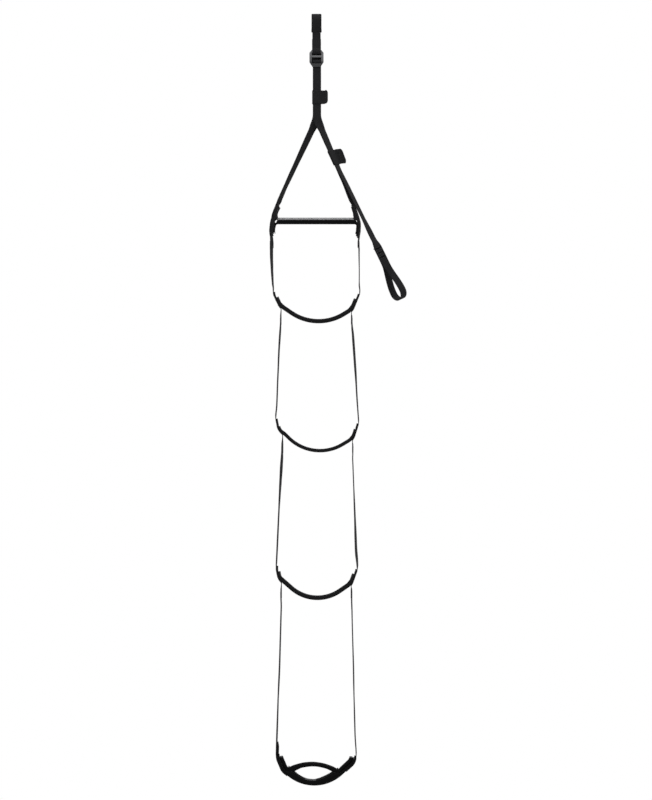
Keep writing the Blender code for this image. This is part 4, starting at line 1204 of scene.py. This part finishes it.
def patch_pieces(side, word):
    """The plies sewn inside a leg at the bar, each a little shorter and narrower than the last."""
    points, across, plies = leg_points[side], leg_faces[side], patch_plies[side]
    normals = through_directions(points, across)
    for k in range(plies):
        high = bar_level + patch_rise + patch_top_room - patch_top_step * k
        low = bar_level - patch_fall[side] - patch_end_step * (1 - k)
        chosen = [i for i, point in enumerate(points) if low <= point.z <= high]
        depths = [station_value(patch_depths[side], -points[i].z) / plies for i in chosen]
        shifted = [points[i] - normals[i] * side * (half_web + depth * (k + 0.5))
                   for i, depth in zip(chosen, depths)]
        web(f"web_bar_patch_{word}_{k + 1}", shifted, [across[i] for i in chosen], "ladder_head",
            f"bar_patch_{word}", thickness=[depth * patch_swell for depth in depths],
            width=webbing_width * (1 - patch_narrowing * k), seed=k)


def leg_pieces():
    """Both legs with their patches and sewing, and the cradle under the bar."""
    sewing = []
    for side, word in SIDE_WORDS.items():
        points, across, fall = leg_points[side], leg_faces[side], patch_fall[side]
        web(f"web_leg_{word}", points, across, fold_zone("ladder_head", "stage_1", first_fold), f"leg_{word}",
            seed=side)
        outer = Surface(points, across, half_web, side)
        for above_bar in (patch_rise - tack_margin, patch_rise * 0.45, fall * -0.35, tack_margin - fall):
            i = min(range(len(points)), key=lambda k: abs(points[k].z - bar_level - above_bar))
            sewing += outer.bartack(outer.run[i], *strap_tack)
        patch_pieces(side, word)
    rear_leg = [point for point in leg_points[-1] if point.z > head_sewn_end]
    rear = Surface(rear_leg, [RIGHT] * len(rear_leg), half_web - thread_radius * 0.9, -1)
    for at in head_tack_places:
        sewing += rear.bartack(at, *head_tack)
    threads("thread_legs", sewing, "ladder_head")
    finish_piece(ring_piece("web_bar_cradle", cradle_rings(), foot_webbing), "ladder_head",
                 "bar_cradle_strap")


def turned_rail(stage, side, points, falls, split):
    """The rail's width directions; its points are moved to where it strays and where it laps."""
    lap_top = stage.stubs[side > 0].z - lap_drop
    next_twist = 0 if stage.last else rail_twists[(stage.number + 1, side)][0][1]
    turned = []
    for i, (point, share, tangent) in enumerate(zip(points, falls, directions(points))):
        if i < split:
            settle = 1 - ease((i - split + kink_settling) / kink_settling)
            degrees = station_value(rail_twists[(stage.number, side)], share) * settle
            point.x += station_value(rail_bows[(stage.number, side)], share)
            point.x -= side * lap_meet * ease(1 - share / lap_meet_share)
        else:
            lapped = 0 if stage.last else rise(-point.z, -lap_top, lap_top - stage.next_fold - fold_reach)
            degrees = next_twist * lapped
            point.x += side * lap_meet * lapped
        turned.append(turned_about(tangent, BACK, degrees))
    return turned


def foot_strap_end(points, turned, low):
    """The foot strap's end runs on up the inside of the left rail."""
    chosen = [i for i, point in enumerate(points) if low <= point.z <= foot_strap_top]
    normals = through_directions(points, turned)
    depths = [foot_end_depth + foot_end_growth * rise(-points[i].z, -foot_strap_top, 0.014) for i in chosen]
    shifted = [points[i] + normals[i] * (half_web + depth / 2) for i, depth in zip(chosen, depths)]
    web("web_foot_strap_end", shifted, [turned[i] for i in chosen], "stage_4", "foot_strap", foot_webbing,
        thickness=depths)


def rail_pieces(stage, side):
    """A rail down to its step, and its lap along the step down to the next fold; gives the lap's sewing."""
    number, body = stage.number, stage.body
    name = f"rail_{SIDE_WORDS[side]}_{number}"
    points = rail_route(stage, side)
    kink = stage.kink(side)
    falls = [(stage.fold - point.z) / (stage.fold - kink.z) for point in points]
    split = next(i for i, share in enumerate(falls) if share > 1) + kink_settling
    turned = turned_rail(stage, side, points, falls, split)
    above_body = "ladder_head" if number == 1 else f"stage_{number - 1}"
    web(f"web_{name}", points[:split + 1], turned[:split + 1], fold_zone(above_body, body, stage.fold), name,
        rail_webbing, seed=number + side)
    if stage.last and side < 0:
        foot_strap_end(points[:split + 1], turned[:split + 1], kink.z - foot_end_overlap)
    zone = body if stage.last else fold_zone(body, f"stage_{number + 1}", stage.next_fold)
    web(f"web_{name}_lap", points[split:], turned[split:], zone, name, rail_webbing, thickness=pitch)
    hug = stage.hug(side)
    outer = Surface(hug, [BACK] * len(hug), half_web, -1)
    return [line for at in (lap_tack_margins[0], outer.length / 2, outer.length - lap_tack_margins[1])
            for line in outer.bartack(at, *strap_tack)]


def tread_piece(stage, width):
    """The sleeve on the step's strap; gives its seams and its upper face."""
    node = "foot_sleeve" if stage.last else f"tread_sleeve_{stage.number}"
    left, right = stage.tread_ends
    lengths = stage.lengths(-left - (foot_end_rise if stage.last else 0), right)
    sizes = [stage.tread_height(length) for length in lengths]
    route = [stage.at(length, -half_web - size / 2) for length, size in zip(lengths, sizes)]
    across = [BACK] * len(route)
    finish = foot_webbing if stage.last else tread_webbing
    made = sleeve("cloth_" + node, route, across, [width - tread_wall] * len(route),
                  [size - tread_wall for size in sizes], tread_wall, finish, 0.0005)
    finish_piece(made, stage.body, node)
    top = Surface(route, across, 0)
    top.points = [p + n * size / 2 for p, n, size in zip(route, top.normals, sizes)]
    sewing = top.edge_seams(width)
    for at in (end_row_margin, top.length - end_row_margin):
        sewing += top.cross_rows(at, width * 0.6)
    return sewing, top


def stage_pieces(stage):
    """The step's strap, its sleeve, both rails and all their sewing."""
    node = "foot_strap" if stage.last else f"step_strap_{stage.number}"
    width = foot_tread_width if stage.last else tread_width
    route, depths = [], []
    for length in stage.lengths(-stage.ends[0], stage.ends[1]):
        start = stage.tread_ends[length > 0] - doubled_reach / 2
        extra = doubled_end * rise(abs(length), start, doubled_reach)
        route.append(stage.at(length, -extra / 2))
        depths.append(pitch + extra)
    web("web_" + node, route, BACK, stage.body, node, rail_webbing, thickness=depths)
    sewing, top = tread_piece(stage, width)
    for side in SIDE_WORDS:
        sewing += rail_pieces(stage, side)
    for share in tread_tacks[stage.number]:
        for shift, length, part, rows in tread_tack_layers:
            sewing += top.bartack(top.length * share + shift, length, width * part, rows)
    threads("thread_" + stage.body, sewing, stage.body)


def arch_pieces(stage):
    """The upper band of the bottom step, swollen where it meets the lower one."""
    points = arch_route(stage)
    across = [BACK] * len(points)
    heights = [station_value(arch_heights, point.x) for point in points]
    points = beside(points, across, [(arch_height - height) / 2 for height in heights])
    finish_piece(sleeve("cloth_arch_sleeve", points, across, [tread_width - tread_wall] * len(points),
                        [height - tread_wall for height in heights], tread_wall, foot_webbing, 0.0004),
                 stage.body, "arch_sleeve")
    top = Surface(points, across, arch_height / 2)
    sewing = top.edge_seams(tread_width)
    for share in arch_tacks:
        sewing += top.bartack(top.length * share, *arch_tack)
    threads("thread_arch", sewing, stage.body)


load_zone = ("buckle", "ladder_head", (0, 0, load_start), (0, 0, load_end))
clip_in_pieces()
buckle_pieces()
tail_pieces()
keepers()
leg_pieces()
for stage in stages:
    stage_pieces(stage)
arch_pieces(stages[-1])

# Studio: a floor that keeps the shadow and fades to white at its rim
floor_level = -2.06
floor_radius = 9
floor_fade = (0.28, 0.62)
room_light = 0.45


def floor_material():
    made, g, shader, uv, place = new_material("studio_floor")
    g.feed(shader, {"Roughness": 0.9, "Base Color": (0.86, 0.86, 0.86, 1)})
    reach = g.node("VectorMath", {0: place}, operation="LENGTH").outputs["Value"]
    rim = g.node("MapRange", {"Value": reach, "From Min": floor_fade[0], "From Max": floor_fade[1]},
                 interpolation_type="SMOOTHSTEP")
    mix = g.node("MixShader", {"Fac": g.math("MULTIPLY", g.seen(), rim.outputs[0]), 1: shader.outputs[0],
                               2: g.node("Emission").outputs[0]})
    g.feed(g.tree.nodes["Material Output"], {"Surface": mix.outputs[0]})
    return made


shape = bmesh.new()
bmesh.ops.create_circle(shape, cap_ends=True, segments=64, radius=floor_radius)
floor_mesh = bpy.data.meshes.new("studio_floor")
shape.to_mesh(floor_mesh)
shape.free()
floor_mesh.materials.append(floor_material())
floor = bpy.data.objects.new("studio_floor", floor_mesh)
floor.location = (0, 0, floor_level)
scene.collection.objects.link(floor)

world = bpy.data.worlds.new("studio")
world.use_nodes = True
scene.world = world
room = Graph(world.node_tree)
room.feed(world.node_tree.nodes["Background"],
          {"Color": (1, 1, 1, 1), "Strength": room.spread(room.seen(), room_light, 1.0)})

for name, place, aim, size, power in (("key", (-2.2, -3.2, 1.6), (0, 0, -0.8), 1.8, 95),
                                      ("fill", (2.8, -2.8, -0.2), (0, 0, -1.0), 2.2, 45),
                                      ("top", (0.3, -0.4, 2.2), (0, 0, 0), 1.4, 40)):
    light = bpy.data.lights.new(name, "AREA")
    light.shape = "DISK"
    light.size = size
    light.energy = power
    lamp = bpy.data.objects.new(name, light)
    scene.collection.objects.link(lamp)
    lamp.location = place
    lamp.rotation_euler = (Vector(aim) - Vector(place)).to_track_quat("-Z", "Y").to_euler()

scene.view_settings.view_transform = "Standard"
